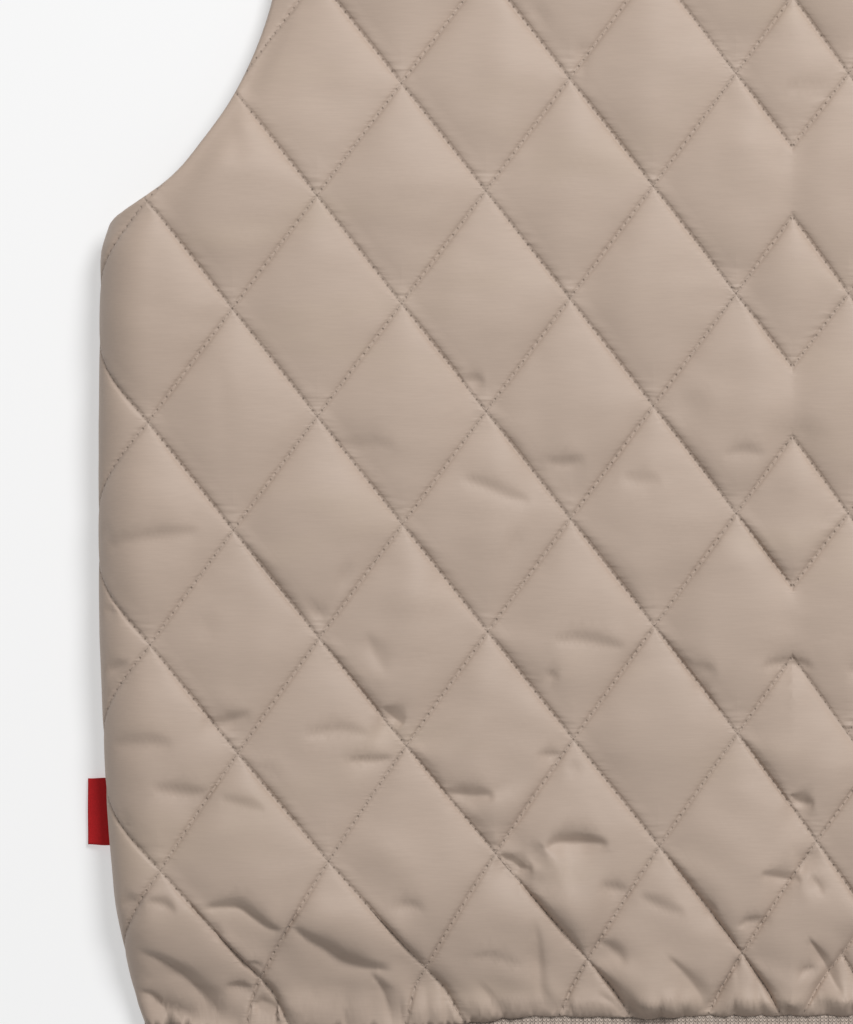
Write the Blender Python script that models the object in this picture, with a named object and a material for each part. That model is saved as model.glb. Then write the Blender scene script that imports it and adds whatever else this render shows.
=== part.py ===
"""Diamond-quilted vest laid flat on its front, so that its back lies on top.

+X runs to the right and +Y to the neck when the vest is seen from above, and +Z is up.
The origin lies on the surface that the vest rests on, under the middle of its centre line.
Every outline is given as a half width from the centre back and a height above the seam
between the body and its ribbed hem band.  A panel is drawn flat in those two measures, in
arc length where it turns round the side fold, and is then laid on the folded form.
"""
import math
from collections import namedtuple

import bmesh
import bpy
import numpy as np
from mathutils import Vector
from mathutils.geometry import delaunay_2d_cdt

# ---- Driving dimensions, in metres ----------------------------------------------------
ORIGIN_HEIGHT = 0.270         # the origin's height above the hem seam
SEAM_GAP = 0.0003             # pieces stay this far apart where they are sewn together
BACK_LOFT = 0.003             # air between the back and the fronts, away from the edges
FRONT_WALL = 0.0065           # the padded fronts
HEM_FRONT_WALL = 0.0036       # the fronts where they are gathered on to the band
WALL_RAMP = 0.030             # height over which the fronts reach their full wall
UNDERARM_HEIGHT = 0.3045      # where the side seam ends in the armhole
UNDERARM_TURN = 0.3100        # the armhole's edge where it passes over the side fold
SEAM_ANGLE = math.radians(35)   # the side seam lies this far under the side fold
FOLD_REACH = 0.200            # the loft of the side fold fades over this width
FOLD_FADE = (0.322, 0.400)    # and over these heights above the underarm
RIM_REACH = 0.060             # the panels settle on each other this close to an edge
HEM_REACH = 0.045             # the blouson's fall on to the band

# One cross-section of the side fold: how far it rounds out and up, how high its widest
# point lies, and how thick the back's wall is along a line of stitches.
Section = namedtuple("Section", "out up equator wall")
BODY = Section(out=0.0180, up=0.0130, equator=0.0110, wall=0.0045)
HEM = Section(out=0.0042, up=0.0042, equator=0.0042, wall=0.0034)
BAND = Section(out=0.0040, up=0.0040, equator=0.0040, wall=0.0034)

# Side fold: height and half width.
SIDE_FOLD = (
    (0.000, 0.2535), (0.010, 0.2574), (0.026, 0.2609), (0.057, 0.2652), (0.096, 0.2683),
    (0.127, 0.2695), (0.170, 0.2707), (0.240, 0.2705), (0.285, 0.2702), (0.300, 0.2695),
    (0.310, 0.2668), (0.330, 0.2660), (0.620, 0.2660),
)
# Armhole: height, the back's half width and the front's, which is cut deeper.
ARMHOLE = (
    (0.314, 0.2625, 0.2610), (0.318, 0.2562, 0.2530), (0.323, 0.2480, 0.2435),
    (0.330, 0.2400, 0.2335), (0.342, 0.2305, 0.2210), (0.357, 0.2200, 0.2085),
    (0.373, 0.2118, 0.1985), (0.396, 0.2036, 0.1890), (0.425, 0.1985, 0.1835),
    (0.460, 0.1965, 0.1820), (0.500, 0.1985, 0.1860), (0.530, 0.2030, 0.1950),
    (0.553, 0.2090, 0.2090),
)
NECK_POINT = (0.085, 0.597)   # half width and height, where the shoulder meets the neck
# Necklines from the neck point to the centre line: half width and height.
BACK_NECK = ((0.076, 0.5885), (0.058, 0.5805), (0.030, 0.5775), (0.000, 0.5770))
FRONT_NECK = ((0.0815, 0.576), (0.073, 0.546), (0.056, 0.518), (0.030, 0.503), (0.000, 0.499))

# Quilting: a lattice of diamonds that is mirrored at the centre back.
DIAMOND_WIDTH = 0.066
DIAMOND_HEIGHT = 0.086
LATTICE_SIDE = 0.0226         # first column of crossings beside the centre back
LATTICE_HEIGHT = 0.0246       # first row of crossings above the hem seam
LATTICE_DROP = 0.030          # fall of a row towards the side, per metre
# The hem's gathers pull the quilting towards the middle, most beside the hem.
PULL_BODY = 0.002             # pull far above the hem
PULL_HEM = 0.0145             # further pull at the hem
PULL_HEIGHT = 0.055           # height over which it fades
PULL_WIDTH = 0.060            # distance from the centre over which it builds up
PULL_DROP = 0.006             # fall of the quilting at the sides of the hem
PULL_DROP_HEIGHT = 0.090
PULL_DROP_WIDTH = 0.250
QUILT_RISE = 0.0058           # a diamond's crown above its stitch lines
QUILT_CELLS = 5               # mesh cells along a diamond's side
QUILT_FULLNESS = 2.4          # how steeply the padding rises from a stitch line
QUILT_DIP = 0.001             # how far a crease may sink under the stitch lines
QUILT_EDGE = 0.014            # the padding thins out this close to an edge
FOLD_PUFF = 0.18              # share of the rise left where the cloth is taut on the side fold

# Gathers along the hem seam.
GATHER_COUNT = 46
GATHER_HEIGHT = 0.020
GATHER_RISE = 0.0026
GATHER_TURN = 0.004           # height over which a pleat rolls over the hem seam
GATHER_ROWS = (0.0045, 0.010, 0.0165)

# The largest creases of the back: from and to (distance to the right of the centre back,
# height), then half width and depth.
CREASES = (
    (-0.256, 0.029, -0.222, 0.006, 0.008, 0.0030),
    (-0.230, 0.044, -0.197, 0.036, 0.006, 0.0022),
    (-0.194, 0.036, -0.155, 0.020, 0.007, 0.0030),
    (-0.112, 0.061, -0.074, 0.068, 0.006, 0.0026),
    (-0.103, 0.052, -0.078, 0.023, 0.006, 0.0024),
    (-0.265, 0.108, -0.241, 0.108, 0.006, 0.0020),
    (-0.250, 0.090, -0.227, 0.089, 0.006, 0.0020),
    (-0.047, 0.026, -0.032, 0.009, 0.006, 0.0022),
    (0.254, 0.034, 0.216, 0.012, 0.008, 0.0030),
    (0.205, 0.028, 0.164, 0.043, 0.007, 0.0026),
    (0.126, 0.054, 0.092, 0.061, 0.006, 0.0026),
    (0.088, 0.046, 0.060, 0.020, 0.006, 0.0024),
    (0.262, 0.099, 0.236, 0.103, 0.006, 0.0020),
    (0.040, 0.030, 0.024, 0.010, 0.006, 0.0022),
)

# Front lap and hem band.
LAP = 0.015                   # each front passes the centre line by this much
LAP_TURN = (0.018, 0.030)     # the fronts thin out to half between these half widths
BAND_HEIGHT = 0.045
RIB_PITCH = 0.0040
RIB_RISE = 0.0005

# Side label, folded and caught in the side seam.
LABEL_HEIGHTS = (0.0660, 0.0922)
LABEL_REACH = 0.2757          # outer end's half width
LABEL_END = 0.0016            # height of its outer end over the surface
LABEL_WALL = 0.0011

EDGE_STEP = 0.010             # spacing of points along a panel's edge
HEM_STEP = 0.0031             # spacing along the back's gathered hem
PLAIN_STEP = 0.028            # spacing of points on a plain surface
CENTRE_STEP = 0.0085          # spacing of the back's points along its centre line
BACK_FOLD_COLUMNS = (0.0, 0.33, 0.67, 1.0)   # shares of the fold's upper quarter
FRONT_FOLD_COLUMNS = (0.0, 0.4)              # and of its lower quarter

FABRIC = ("quilted_fabric", (0.462, 0.366, 0.301, 1.0), 0.62)
RIB = ("rib_knit", (0.390, 0.318, 0.266, 1.0), 0.85)
WOVEN_LABEL = ("woven_label", (0.323, 0.017, 0.019, 1.0), 0.70)


# ---- Curves and the folded form -------------------------------------------------------
def ease(value):
    """Smooth step from 0 to 1."""
    t = np.clip(value, 0.0, 1.0)
    return t * t * (3.0 - 2.0 * t)


def blend(low, high, share):
    return low + (high - low) * share


def through(table, height, column=1):
    """Smooth curve through a table's rows, read at one or many heights."""
    rows = np.array(table)
    knots, values = rows[:, 0], rows[:, column]
    slopes = np.gradient(values, knots)
    height = np.clip(height, knots[0], knots[-1])
    k = np.clip(np.searchsorted(knots, height) - 1, 0, len(knots) - 2)
    span = knots[k + 1] - knots[k]
    t = (height - knots[k]) / span
    rise = ease(t)
    return (blend(values[k], values[k + 1], rise)
            + span * t * (1 - t) * ((1 - t) * slopes[k] - t * slopes[k + 1]))


def quarter(across, along):
    """Length of a quarter of an ellipse."""
    return 0.5 * math.pi * np.sqrt((across ** 2 + along ** 2) / 2)


def section(height):
    """The side fold's cross-section at a height, as a Section of arrays."""
    share = ease(np.asarray(height) / HEM_REACH)
    return Section(*(blend(low, high, share) for low, high in zip(HEM, BODY)))


def front_wall(height):
    return blend(HEM_FRONT_WALL, FRONT_WALL, np.clip(np.asarray(height) / WALL_RAMP, 0, 1))


def side_seam(height, upper):
    """Arc length from the centre line to the side seam, over the top or along the bottom."""
    form = section(height)
    low = quarter(form.out, form.equator)
    flat = through(SIDE_FOLD, height) - form.out
    share = SEAM_ANGLE / (0.5 * math.pi)
    if upper:
        return flat + quarter(form.out, form.up) + low * share
    return flat + low * (1 - share) - SEAM_GAP


def arc_at(half_width, height, upper):
    """Arc length from the centre line to a half width, over the top or along the bottom."""
    form = section(height)
    edge = through(SIDE_FOLD, height)
    inset = edge - half_width
    if inset > form.out:
        return half_width
    turn = math.acos(1 - inset / form.out) / (0.5 * math.pi)
    length = quarter(form.out, form.up if upper else form.equator)
    return float(edge - form.out + length * (1 - turn))


def distance_to(path, across, height):
    """Distance from points to a path of (half width, height)."""
    path = np.array(path)
    point = np.stack([np.abs(across), height], -1)[:, None, :]
    start, leg = path[None, :-1], np.diff(path, axis=0)[None]
    t = np.clip(((point - start) * leg).sum(-1) / (leg ** 2).sum(-1), 0, 1)
    return np.linalg.norm(point - start - leg * t[..., None], axis=-1).min(1)


def smooth_path(points, step):
    """Points at an even step along a smooth curve through the given points."""
    points = np.array(points)
    legs = np.linalg.norm(np.diff(points, axis=0), axis=1)
    along = np.concatenate([[0], np.cumsum(legs)])
    stops = np.linspace(0, along[-1], max(2, round(along[-1] / step) + 1))
    columns = [through(np.stack([along, points[:, k]], -1), stops) for k in (0, 1)]
    return [tuple(point) for point in np.stack(columns, -1)]


def rim_path():
    """Armhole, shoulder and neckline of the back, as (half width, height)."""
    armhole = [(row[1], row[0]) for row in ARMHOLE]
    return armhole + [NECK_POINT] + list(BACK_NECK)


def back_form(arc, height):
    """The back's outer form along its stitch lines, with no padding."""
    form = section(height)
    top, low = quarter(form.out, form.up), quarter(form.out, form.equator)
    edge = through(SIDE_FOLD, height)
    left = edge - form.out + top - np.abs(arc)
    turn = 0.5 * math.pi * np.clip(np.where(left > 0, left / top, left / low), -1, 1)
    inset = np.where(left > top, form.out + left - top, form.out * (1 - np.cos(turn)))
    across = edge - inset
    swell = form.equator + np.where(left > 0, form.up, form.equator) * np.sin(turn)
    rim = distance_to(rim_path(), across, height)
    loft = BACK_LOFT * ease(rim / RIM_REACH) * ease(height / RIM_REACH)
    rest = front_wall(height) + SEAM_GAP + form.wall + loft
    hold = 1 - ease((inset - form.out) / FOLD_REACH)
    hold = hold * (1 - ease((height - FOLD_FADE[0]) / (FOLD_FADE[1] - FOLD_FADE[0])))
    level = np.where(left > top, rest + (form.equator + form.up - rest) * hold, swell)
    return np.stack([np.sign(arc) * across, height - ORIGIN_HEIGHT, level], -1)


def front_form(arc, height):
    """The fronts' outer form, flat where it rests on the surface."""
    form = section(height)
    low = quarter(form.out, form.equator)
    edge = through(SIDE_FOLD, height)
    left = edge - form.out + low - np.abs(arc)
    turn = 0.5 * math.pi * np.clip(left / low, 0, 1)
    inset = np.where(left > low, form.out + left - low, form.out * (1 - np.cos(turn)))
    level = form.equator * (1 - np.sin(turn))
    return np.stack([np.sign(arc) * (edge - inset), height - ORIGIN_HEIGHT, level], -1)


def outward(form, arc, height, sign):
    """Unit normals of a form, pointing up for the back and down for the fronts."""
    nudge = 0.0004
    along = form(arc + nudge, height) - form(arc - nudge, height)
    up = form(arc, height + nudge) - form(arc, height - nudge)
    normal = np.cross(along, up) * sign
    return normal / np.linalg.norm(normal, axis=-1, keepdims=True)


# ---- Relief of the back ---------------------------------------------------------------
def gather_pull(away, height):
    """How far the gathers have moved the quilting: towards the middle and down."""
    pull = PULL_BODY + PULL_HEM * np.exp(-height / PULL_HEIGHT)
    drop = PULL_DROP * (away / PULL_DROP_WIDTH) ** 2 * np.exp(-height / PULL_DROP_HEIGHT)
    return pull * (1 - np.exp(-away / PULL_WIDTH)), drop


def lattice(arc, height):
    """Position across the two families of stitch lines, which lie at whole numbers."""
    away = np.abs(arc)
    pull, drop = gather_pull(away, height)
    away, height = away + pull, height + drop
    across = (away - LATTICE_SIDE) / DIAMOND_WIDTH
    along = (height + LATTICE_DROP * away - LATTICE_HEIGHT) / DIAMOND_HEIGHT
    return along + across, along - across


def lattice_point(rise, fall):
    """Arc and height where two lines of the lattice cross, right of the centre back."""
    sewn_arc = LATTICE_SIDE + DIAMOND_WIDTH * (rise - fall) / 2
    sewn_height = LATTICE_HEIGHT + DIAMOND_HEIGHT * (rise + fall) / 2 - LATTICE_DROP * sewn_arc
    arc, height = np.maximum(sewn_arc, 0.0), np.maximum(sewn_height, 0.0)
    for _ in range(12):
        pull, drop = gather_pull(np.maximum(arc, 0.0), np.maximum(height, 0.0))
        arc, height = sewn_arc - pull, sewn_height - drop
    return arc, height


def crown(position):
    """Padding's rise between two stitch lines, from 0 on a line to 1 half way."""
    away = 2 * np.abs(position - np.round(position))
    return 1 - (1 - away) ** QUILT_FULLNESS


def gathers(arc, height):
    """Uneven pleats that stand up from the hem seam and fade into the body."""
    phase = GATHER_COUNT * arc / (2 * through(SIDE_FOLD, 0.0))
    wave = np.cos(2 * math.pi * (phase + 0.22 * np.sin(5.3 * phase) + 0.15 * np.sin(2.1 * phase)))
    size = 0.70 + 0.30 * np.sin(1.7 * phase + 0.8)
    fall = (height - GATHER_TURN) / (GATHER_HEIGHT - GATHER_TURN)
    rise = ease(height / GATHER_TURN) * (1 - ease(fall))
    return GATHER_RISE * size * rise * (0.5 + 0.5 * wave)


def creases(arc, height):
    """The sum of the hand-placed creases, as a depth."""
    depth = np.zeros_like(arc)
    for x0, h0, x1, h1, half_width, most in CREASES:
        run = np.array([x1 - x0, h1 - h0])
        offset = np.stack([arc - x0, height - h0], -1)
        t = np.clip(offset @ run / (run @ run), 0, 1)
        away = np.linalg.norm(offset - t[:, None] * run, axis=-1)
        depth += most * (1 - ease(away / half_width)) * (0.35 + 0.65 * np.sin(math.pi * t))
    return depth


def relief(arc, height, edge):
    """Rise of the back's outer points over its stitch lines."""
    rise, fall = lattice(arc, height)
    form = section(height)
    turned = np.abs(arc) - through(SIDE_FOLD, height) + form.out
    taut = blend(1.0, FOLD_PUFF, ease(turned / quarter(form.out, form.up)))
    fade = ease(edge / QUILT_EDGE) * taut
    puff = QUILT_RISE * crown(rise) * crown(fall) * fade
    dent = np.minimum(creases(arc, height) * fade, puff + QUILT_DIP * fade)
    return puff - dent + gathers(arc, height) * ease(edge / GATHER_TURN)


# ---- Panels ---------------------------------------------------------------------------
def mirrored(points):
    """A right-hand edge from the hem to the centre line, with its mirror image."""
    left = [(-arc, height) for arc, height in reversed(points)]
    return points + [point for point in left if abs(point[0]) > 1e-6]


def armhole_edge(column, upper):
    """Armhole from the side seam to the shoulder tip, in arc length and height."""
    edge = [(float(side_seam(UNDERARM_HEIGHT, upper)), UNDERARM_HEIGHT)]
    if upper:
        fold = through(SIDE_FOLD, UNDERARM_TURN)
        edge.append((arc_at(fold, UNDERARM_TURN, upper), UNDERARM_TURN))
    return edge + [(arc_at(row[column], row[0], upper), row[0]) for row in ARMHOLE]


def outline(column, neck, upper, hem_start, hem_step):
    """One side of a panel: from its first places on the hem round to the neckline's middle."""
    hem_end = float(side_seam(0.0, upper))
    count = round((hem_end - hem_start[-1]) / hem_step)
    hem = list(hem_start[:-1]) + list(np.linspace(hem_start[-1], hem_end, count + 1))
    points = [(float(arc), 0.0) for arc in hem]
    heights = np.linspace(0, UNDERARM_HEIGHT, round(UNDERARM_HEIGHT / EDGE_STEP) + 1)
    points += [(float(side_seam(h, upper)), float(h)) for h in heights[1:-1]]
    points += smooth_path(armhole_edge(column, upper), EDGE_STEP)
    points += smooth_path([points[-1], NECK_POINT], EDGE_STEP)[1:]
    points += smooth_path([NECK_POINT] + list(neck), EDGE_STEP)[1:]
    return points


def inside(loop, points, margin):
    """The points that lie inside a loop and clear of its edge."""
    loop, points = np.array(loop), np.array(points)
    ends = np.roll(loop, -1, axis=0)
    x, y = points[:, :1], points[:, 1:]
    crosses = (loop[:, 1] > y) != (ends[:, 1] > y)
    with np.errstate(divide="ignore", invalid="ignore"):
        cut = loop[:, 0] + (y - loop[:, 1]) * (ends[:, 0] - loop[:, 0]) / (ends[:, 1] - loop[:, 1])
    within = (crosses & (x < cut)).sum(1) % 2 == 1
    return points[within & (loop_distance(loop, points) > margin)]


def loop_distance(loop, points):
    """Distance from points to a closed loop."""
    loop, points = np.array(loop), np.array(points)
    leg = np.roll(loop, -1, axis=0) - loop
    offset = points[:, None] - loop[None]
    t = np.clip((offset * leg).sum(-1) / (leg ** 2).sum(-1), 0, 1)
    return np.linalg.norm(offset - leg * t[..., None], axis=-1).min(1)


def triangulate(loop, points):
    """Triangles over a loop and the points inside it; the loop's points come first."""
    flat = [Vector(point) for point in loop] + [Vector(point) for point in points]
    edges = [(k, (k + 1) % len(loop)) for k in range(len(loop))]
    found = delaunay_2d_cdt(flat, edges, [], 1, 1e-7)
    sources = [source[0] for source in found[3]]
    return [[sources[corner] for corner in face] for face in found[2]]


def build_wall(name, loop, outer_points, inner_points, outer, inner, upward):
    """A panel with a fine outer face, a plain inner face and a rim between them."""
    count = len(loop)
    outer_flat = np.concatenate([np.array(loop), outer_points])
    inner_flat = np.concatenate([np.array(loop), inner_points])
    outer_faces = triangulate(loop, outer_points)
    inner_faces = triangulate(loop, inner_points)
    mesh = bmesh.new()
    top = [mesh.verts.new(place) for place in outer(outer_flat[:, 0], outer_flat[:, 1])]
    under = [mesh.verts.new(place) for place in inner(inner_flat[:, 0], inner_flat[:, 1])]
    step = 1 if upward else -1
    for face in outer_faces:
        mesh.faces.new([top[corner] for corner in face][::step])
    for face in inner_faces:
        mesh.faces.new([under[corner] for corner in face][::-step])
    for k in range(count):
        after = (k + 1) % count
        rim = [top[after], top[k], under[k], under[after]]
        mesh.faces.new(rim[::step])
    return finish(name, mesh)


def finish(name, mesh):
    """Turn a bmesh into a shaded object of the scene."""
    bmesh.ops.triangulate(mesh, faces=mesh.faces[:])
    bmesh.ops.recalc_face_normals(mesh, faces=mesh.faces[:])
    data = bpy.data.meshes.new(name)
    mesh.to_mesh(data)
    mesh.free()
    data.shade_smooth()
    data.set_sharp_from_angle(angle=math.radians(50))
    piece = bpy.data.objects.new(name, data)
    bpy.context.scene.collection.objects.link(piece)
    return piece


def plain_points(loop, upper):
    """Points for a plain surface: an even grid, with closer columns round the side fold."""
    low, high = np.array(loop).min(0), np.array(loop).max(0)
    grid = np.stack(np.meshgrid(np.arange(low[0], high[0], PLAIN_STEP),
                                np.arange(WALL_RAMP, high[1], PLAIN_STEP)), -1).reshape(-1, 2)
    flat = through(SIDE_FOLD, grid[:, 1]) - section(grid[:, 1]).out - PLAIN_STEP / 2
    grid = grid[(np.abs(grid[:, 0]) < flat) | (grid[:, 1] > UNDERARM_HEIGHT)]
    heights = np.append(np.arange(WALL_RAMP / 2, UNDERARM_HEIGHT, WALL_RAMP / 2), UNDERARM_HEIGHT)
    form = section(heights)
    length = quarter(form.out, form.up if upper else form.equator)
    turned = through(SIDE_FOLD, heights) - form.out
    shares = BACK_FOLD_COLUMNS if upper else FRONT_FOLD_COLUMNS
    columns = [turned + length * share for share in shares]
    fold = np.concatenate([np.stack([side * arcs, heights], -1)
                           for arcs in columns for side in (-1, 1)])
    return np.concatenate([inside(loop, grid, PLAIN_STEP / 3), inside(loop, fold, 0.0015)])


def quilt_points(loop):
    """The lattice's crossings, its lines and a few points in each diamond."""
    steps = np.arange(-12 * QUILT_CELLS, 13 * QUILT_CELLS) / QUILT_CELLS
    rise, fall = np.meshgrid(steps, steps)
    arc, height = lattice_point(rise.ravel(), fall.ravel())
    cell = DIAMOND_WIDTH / QUILT_CELLS
    keep = (arc > cell / 3) & (height > GATHER_HEIGHT + cell / 4)
    right = inside(loop, np.stack([arc[keep], height[keep]], -1), cell / 3)
    heights = np.arange(WALL_RAMP, BACK_NECK[-1][1] - CENTRE_STEP / 2, CENTRE_STEP)
    middle = [(0.0, height) for height in heights]
    return np.concatenate([right, right * (-1, 1), np.array(middle)])


def gather_points(loop):
    """Rows of points that carry the gathers over the hem seam."""
    arcs = np.array([point[0] for point in loop if point[1] == 0.0])
    rows = [np.stack([arcs * (1 + 0.06 * height / GATHER_HEIGHT), np.full(len(arcs), height)], -1)
            for height in GATHER_ROWS]
    return inside(loop, np.concatenate(rows), 0.002)


def build_back():
    right = outline(column=1, neck=BACK_NECK, upper=True, hem_start=(0.0,), hem_step=HEM_STEP)
    loop = mirrored(right)
    outer_points = np.concatenate([quilt_points(loop), gather_points(loop)])

    def outer(arc, height):
        edge = loop_distance(loop, np.stack([arc, height], -1))
        normal = outward(back_form, arc, height, 1)
        return back_form(arc, height) + normal * relief(arc, height, edge)[:, None]

    def inner(arc, height):
        normal = outward(back_form, arc, height, 1)
        return back_form(arc, height) - normal * section(height).wall[:, None]

    plain = plain_points(loop, upper=True)
    return build_wall("back", loop, outer_points, plain, outer, inner, True)


def build_front(name, side, outermost):
    """One front, drawn on the right and turned over for the left."""
    edge = outline(column=2, neck=FRONT_NECK, upper=False, hem_start=(-LAP, 0.0, *LAP_TURN),
                   hem_step=PLAIN_STEP)
    heights = [WALL_RAMP / 2] + list(np.arange(WALL_RAMP, FRONT_NECK[-1][1] - 0.01, PLAIN_STEP))
    centre = [(-LAP, float(height)) for height in reversed(heights)]
    edge.append((-LAP, FRONT_NECK[-1][1]))
    loop = [(side * arc, height) for arc, height in edge + centre]
    if side < 0:
        loop = loop[::-1]
    points = plain_points(loop, upper=False)
    turn = np.array([(side * x, height) for x in (*LAP_TURN, 0.0) for height in heights])
    clear = np.abs(points[:, 0] * side) > LAP_TURN[1] + PLAIN_STEP / 3
    points = np.concatenate([points[clear], inside(loop, turn, PLAIN_STEP / 8)])

    def half(arc):
        """1 beside the lap and 0 in it."""
        return ease((np.asarray(arc) * side - LAP_TURN[0]) / (LAP_TURN[1] - LAP_TURN[0]))

    def outer(arc, height):
        place = front_form(arc, height)
        if not outermost:
            lifted = front_wall(height) / 2 + SEAM_GAP / 2
            place[:, 2] += lifted * (1 - half(arc))
        return place

    def inner(arc, height):
        thick = front_wall(height)
        place = front_form(arc, height) + outward(front_form, arc, height, 1) * thick[:, None]
        if outermost:
            place[:, 2] -= (thick / 2 + SEAM_GAP / 2) * (1 - half(arc))
        return place

    return build_wall(name, loop, points, points, outer, inner, False)


# ---- Hem band and label ---------------------------------------------------------------
def band_profile():
    """The band's section: outer and inner points (x, z) from its left end to its right."""
    flat = through(SIDE_FOLD, 0.0) - BAND.out
    lap_wall = (BAND.wall - SEAM_GAP) / 2
    under = list(np.arange(LAP_TURN[1] + PLAIN_STEP, flat, PLAIN_STEP))
    left = [((LAP, 0.0), (LAP, lap_wall)), ((-LAP_TURN[0], 0.0), (-LAP_TURN[0], lap_wall))]
    left += [((-x, 0.0), (-x, BAND.wall)) for x in [LAP_TURN[1]] + under]
    fold = []
    for turn in np.radians(np.linspace(-90, 90, 9)):
        out, up = math.cos(turn), math.sin(turn)
        fold.append(((flat + BAND.out * out, BAND.equator + BAND.up * up),
                     (flat + (BAND.out - BAND.wall) * out,
                      BAND.equator + (BAND.up - BAND.wall) * up)))
    top = BAND.equator + BAND.up
    ribs = round(flat / (RIB_PITCH / 2)) * 2
    back = []
    for k, x in enumerate(np.linspace(-flat, flat, ribs + 1)[1:-1]):
        rib = RIB_RISE if k % 2 else -RIB_RISE
        back.append(((x, top + rib), (x, top - BAND.wall)))
    right = [((x, 0.0), (x, BAND.wall)) for x in reversed([LAP_TURN[1]] + under)]
    right += [((x, BAND.wall - lap_wall), (x, BAND.wall)) for x in (LAP_TURN[0], -LAP)]
    turned = [tuple((-x, z) for x, z in pair) for pair in fold]
    return left + turned + back + fold[::-1] + right


def build_hem_band():
    """A ribbed band that runs round the hem and laps at the centre front."""
    profile = band_profile()
    rows = []
    mesh = bmesh.new()
    for height in (-SEAM_GAP, -SEAM_GAP - BAND_HEIGHT):
        y = height - ORIGIN_HEIGHT
        rows.append([[mesh.verts.new((x, y, z)) for x, z in side] for side in zip(*profile)])
    last = len(profile) - 1
    (outer, inner), (next_outer, next_inner) = rows
    for k in range(last):
        mesh.faces.new((outer[k], outer[k + 1], next_outer[k + 1], next_outer[k]))
        mesh.faces.new((inner[k + 1], inner[k], next_inner[k], next_inner[k + 1]))
        mesh.faces.new((outer[k + 1], outer[k], inner[k], inner[k + 1]))
        mesh.faces.new((next_outer[k], next_outer[k + 1], next_inner[k + 1], next_inner[k]))
    for k in (0, last):
        mesh.faces.new((outer[k], next_outer[k], next_inner[k], inner[k]))
    return finish("hem_band", mesh)


def build_label():
    """A small folded tab that stands out of the left side seam and droops."""
    low, high = LABEL_HEIGHTS
    form = section(high)
    turn = Vector((math.cos(SEAM_ANGLE), -math.sin(SEAM_ANGLE)))
    seam = Vector((through(SIDE_FOLD, high) - form.out * (1 - turn.x),
                   form.equator * (1 + turn.y)))
    away = Vector((turn.x / form.out, turn.y / form.equator)).normalized()
    root = seam + away * (2 * SEAM_GAP + LABEL_WALL / 2)
    end = Vector((LABEL_REACH - LABEL_WALL / 2, LABEL_END))
    along = (end - root).normalized()
    side = Vector((-along.y, along.x)) * LABEL_WALL / 2
    profile = [root - side, root + side]
    for step in range(5):
        angle = math.radians(90 - 45 * step)
        profile.append(end + side * math.sin(angle) + along * math.cos(angle) * LABEL_WALL / 2)
    mesh = bmesh.new()
    tab = mesh.faces.new([mesh.verts.new((-x, high - ORIGIN_HEIGHT, z)) for x, z in profile])
    made = bmesh.ops.extrude_face_region(mesh, geom=[tab])
    ends = [item for item in made["geom"] if isinstance(item, bmesh.types.BMVert)]
    bmesh.ops.translate(mesh, verts=ends, vec=(0, low - high, 0))
    return finish("label", mesh)


# ---- Scene ----------------------------------------------------------------------------
def material(name, colour, roughness):
    finish_of = bpy.data.materials.new(name)
    finish_of.use_nodes = True
    shader = finish_of.node_tree.nodes["Principled BSDF"]
    shader.inputs["Base Color"].default_value = colour
    shader.inputs["Roughness"].default_value = roughness
    shader.inputs["Metallic"].default_value = 0.0
    finish_of.diffuse_color = colour
    return finish_of


def main():
    for piece in list(bpy.data.objects):
        bpy.data.objects.remove(piece, do_unlink=True)
    fabric, rib, woven = (material(*values) for values in (FABRIC, RIB, WOVEN_LABEL))
    vest = (
        (build_back(), fabric),
        (build_front("front_left", -1, True), fabric),
        (build_front("front_right", 1, False), fabric),
        (build_hem_band(), rib),
        (build_label(), woven),
    )
    for piece, finish_of in vest:
        piece.data.materials.append(finish_of)


main()
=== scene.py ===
"""Looks of a diamond-quilted vest that lies flat with its back up.

Every panel is modelled as a pattern piece in a flat space, where X is the arc length from
the centre line, Y the height above the hem seam and Z the thickness, and is then laid on
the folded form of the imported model.  Lengths are in metres.
"""
import math
from collections import namedtuple

import bmesh
import bpy
import numpy as np
from mathutils import Matrix, Vector


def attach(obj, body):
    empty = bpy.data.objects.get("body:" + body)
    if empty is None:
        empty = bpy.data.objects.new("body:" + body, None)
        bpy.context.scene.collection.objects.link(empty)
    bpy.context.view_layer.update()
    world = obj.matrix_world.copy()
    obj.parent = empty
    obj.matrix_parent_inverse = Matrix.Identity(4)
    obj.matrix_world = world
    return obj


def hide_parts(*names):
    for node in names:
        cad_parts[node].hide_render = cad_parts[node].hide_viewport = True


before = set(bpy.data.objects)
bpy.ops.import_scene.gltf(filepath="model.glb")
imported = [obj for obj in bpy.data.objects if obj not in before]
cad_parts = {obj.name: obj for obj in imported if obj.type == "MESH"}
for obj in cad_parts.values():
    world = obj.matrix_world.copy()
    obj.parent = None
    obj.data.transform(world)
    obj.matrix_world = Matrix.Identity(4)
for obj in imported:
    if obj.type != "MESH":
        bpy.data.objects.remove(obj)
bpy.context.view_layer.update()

bl_info = {
    "name": "Quilted vest",
    "version": (1, 0, 0),
    "blender": (4, 5, 0),
    "location": "View3D > Sidebar > Vest",
    "description": "Quilted panels, thread, rib band and label of a vest laid flat",
    "category": "Add Mesh",
}

MM = 0.001

# ---- The vest's cut and its laid form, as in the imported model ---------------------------
ORIGIN_HEIGHT = 0.270         # the frame's origin lies this far above the hem seam
SEAM_GAP = 0.0003
BACK_LOFT = 0.003
FRONT_WALL = 0.0065
HEM_FRONT_WALL = 0.0036
WALL_RAMP = 0.030
UNDERARM_HEIGHT = 0.3045
UNDERARM_TURN = 0.3100
SEAM_ANGLE = math.radians(35)
FOLD_REACH = 0.200
FOLD_FADE = (0.322, 0.400)
RIM_REACH = 0.060
HEM_REACH = 0.045

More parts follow.
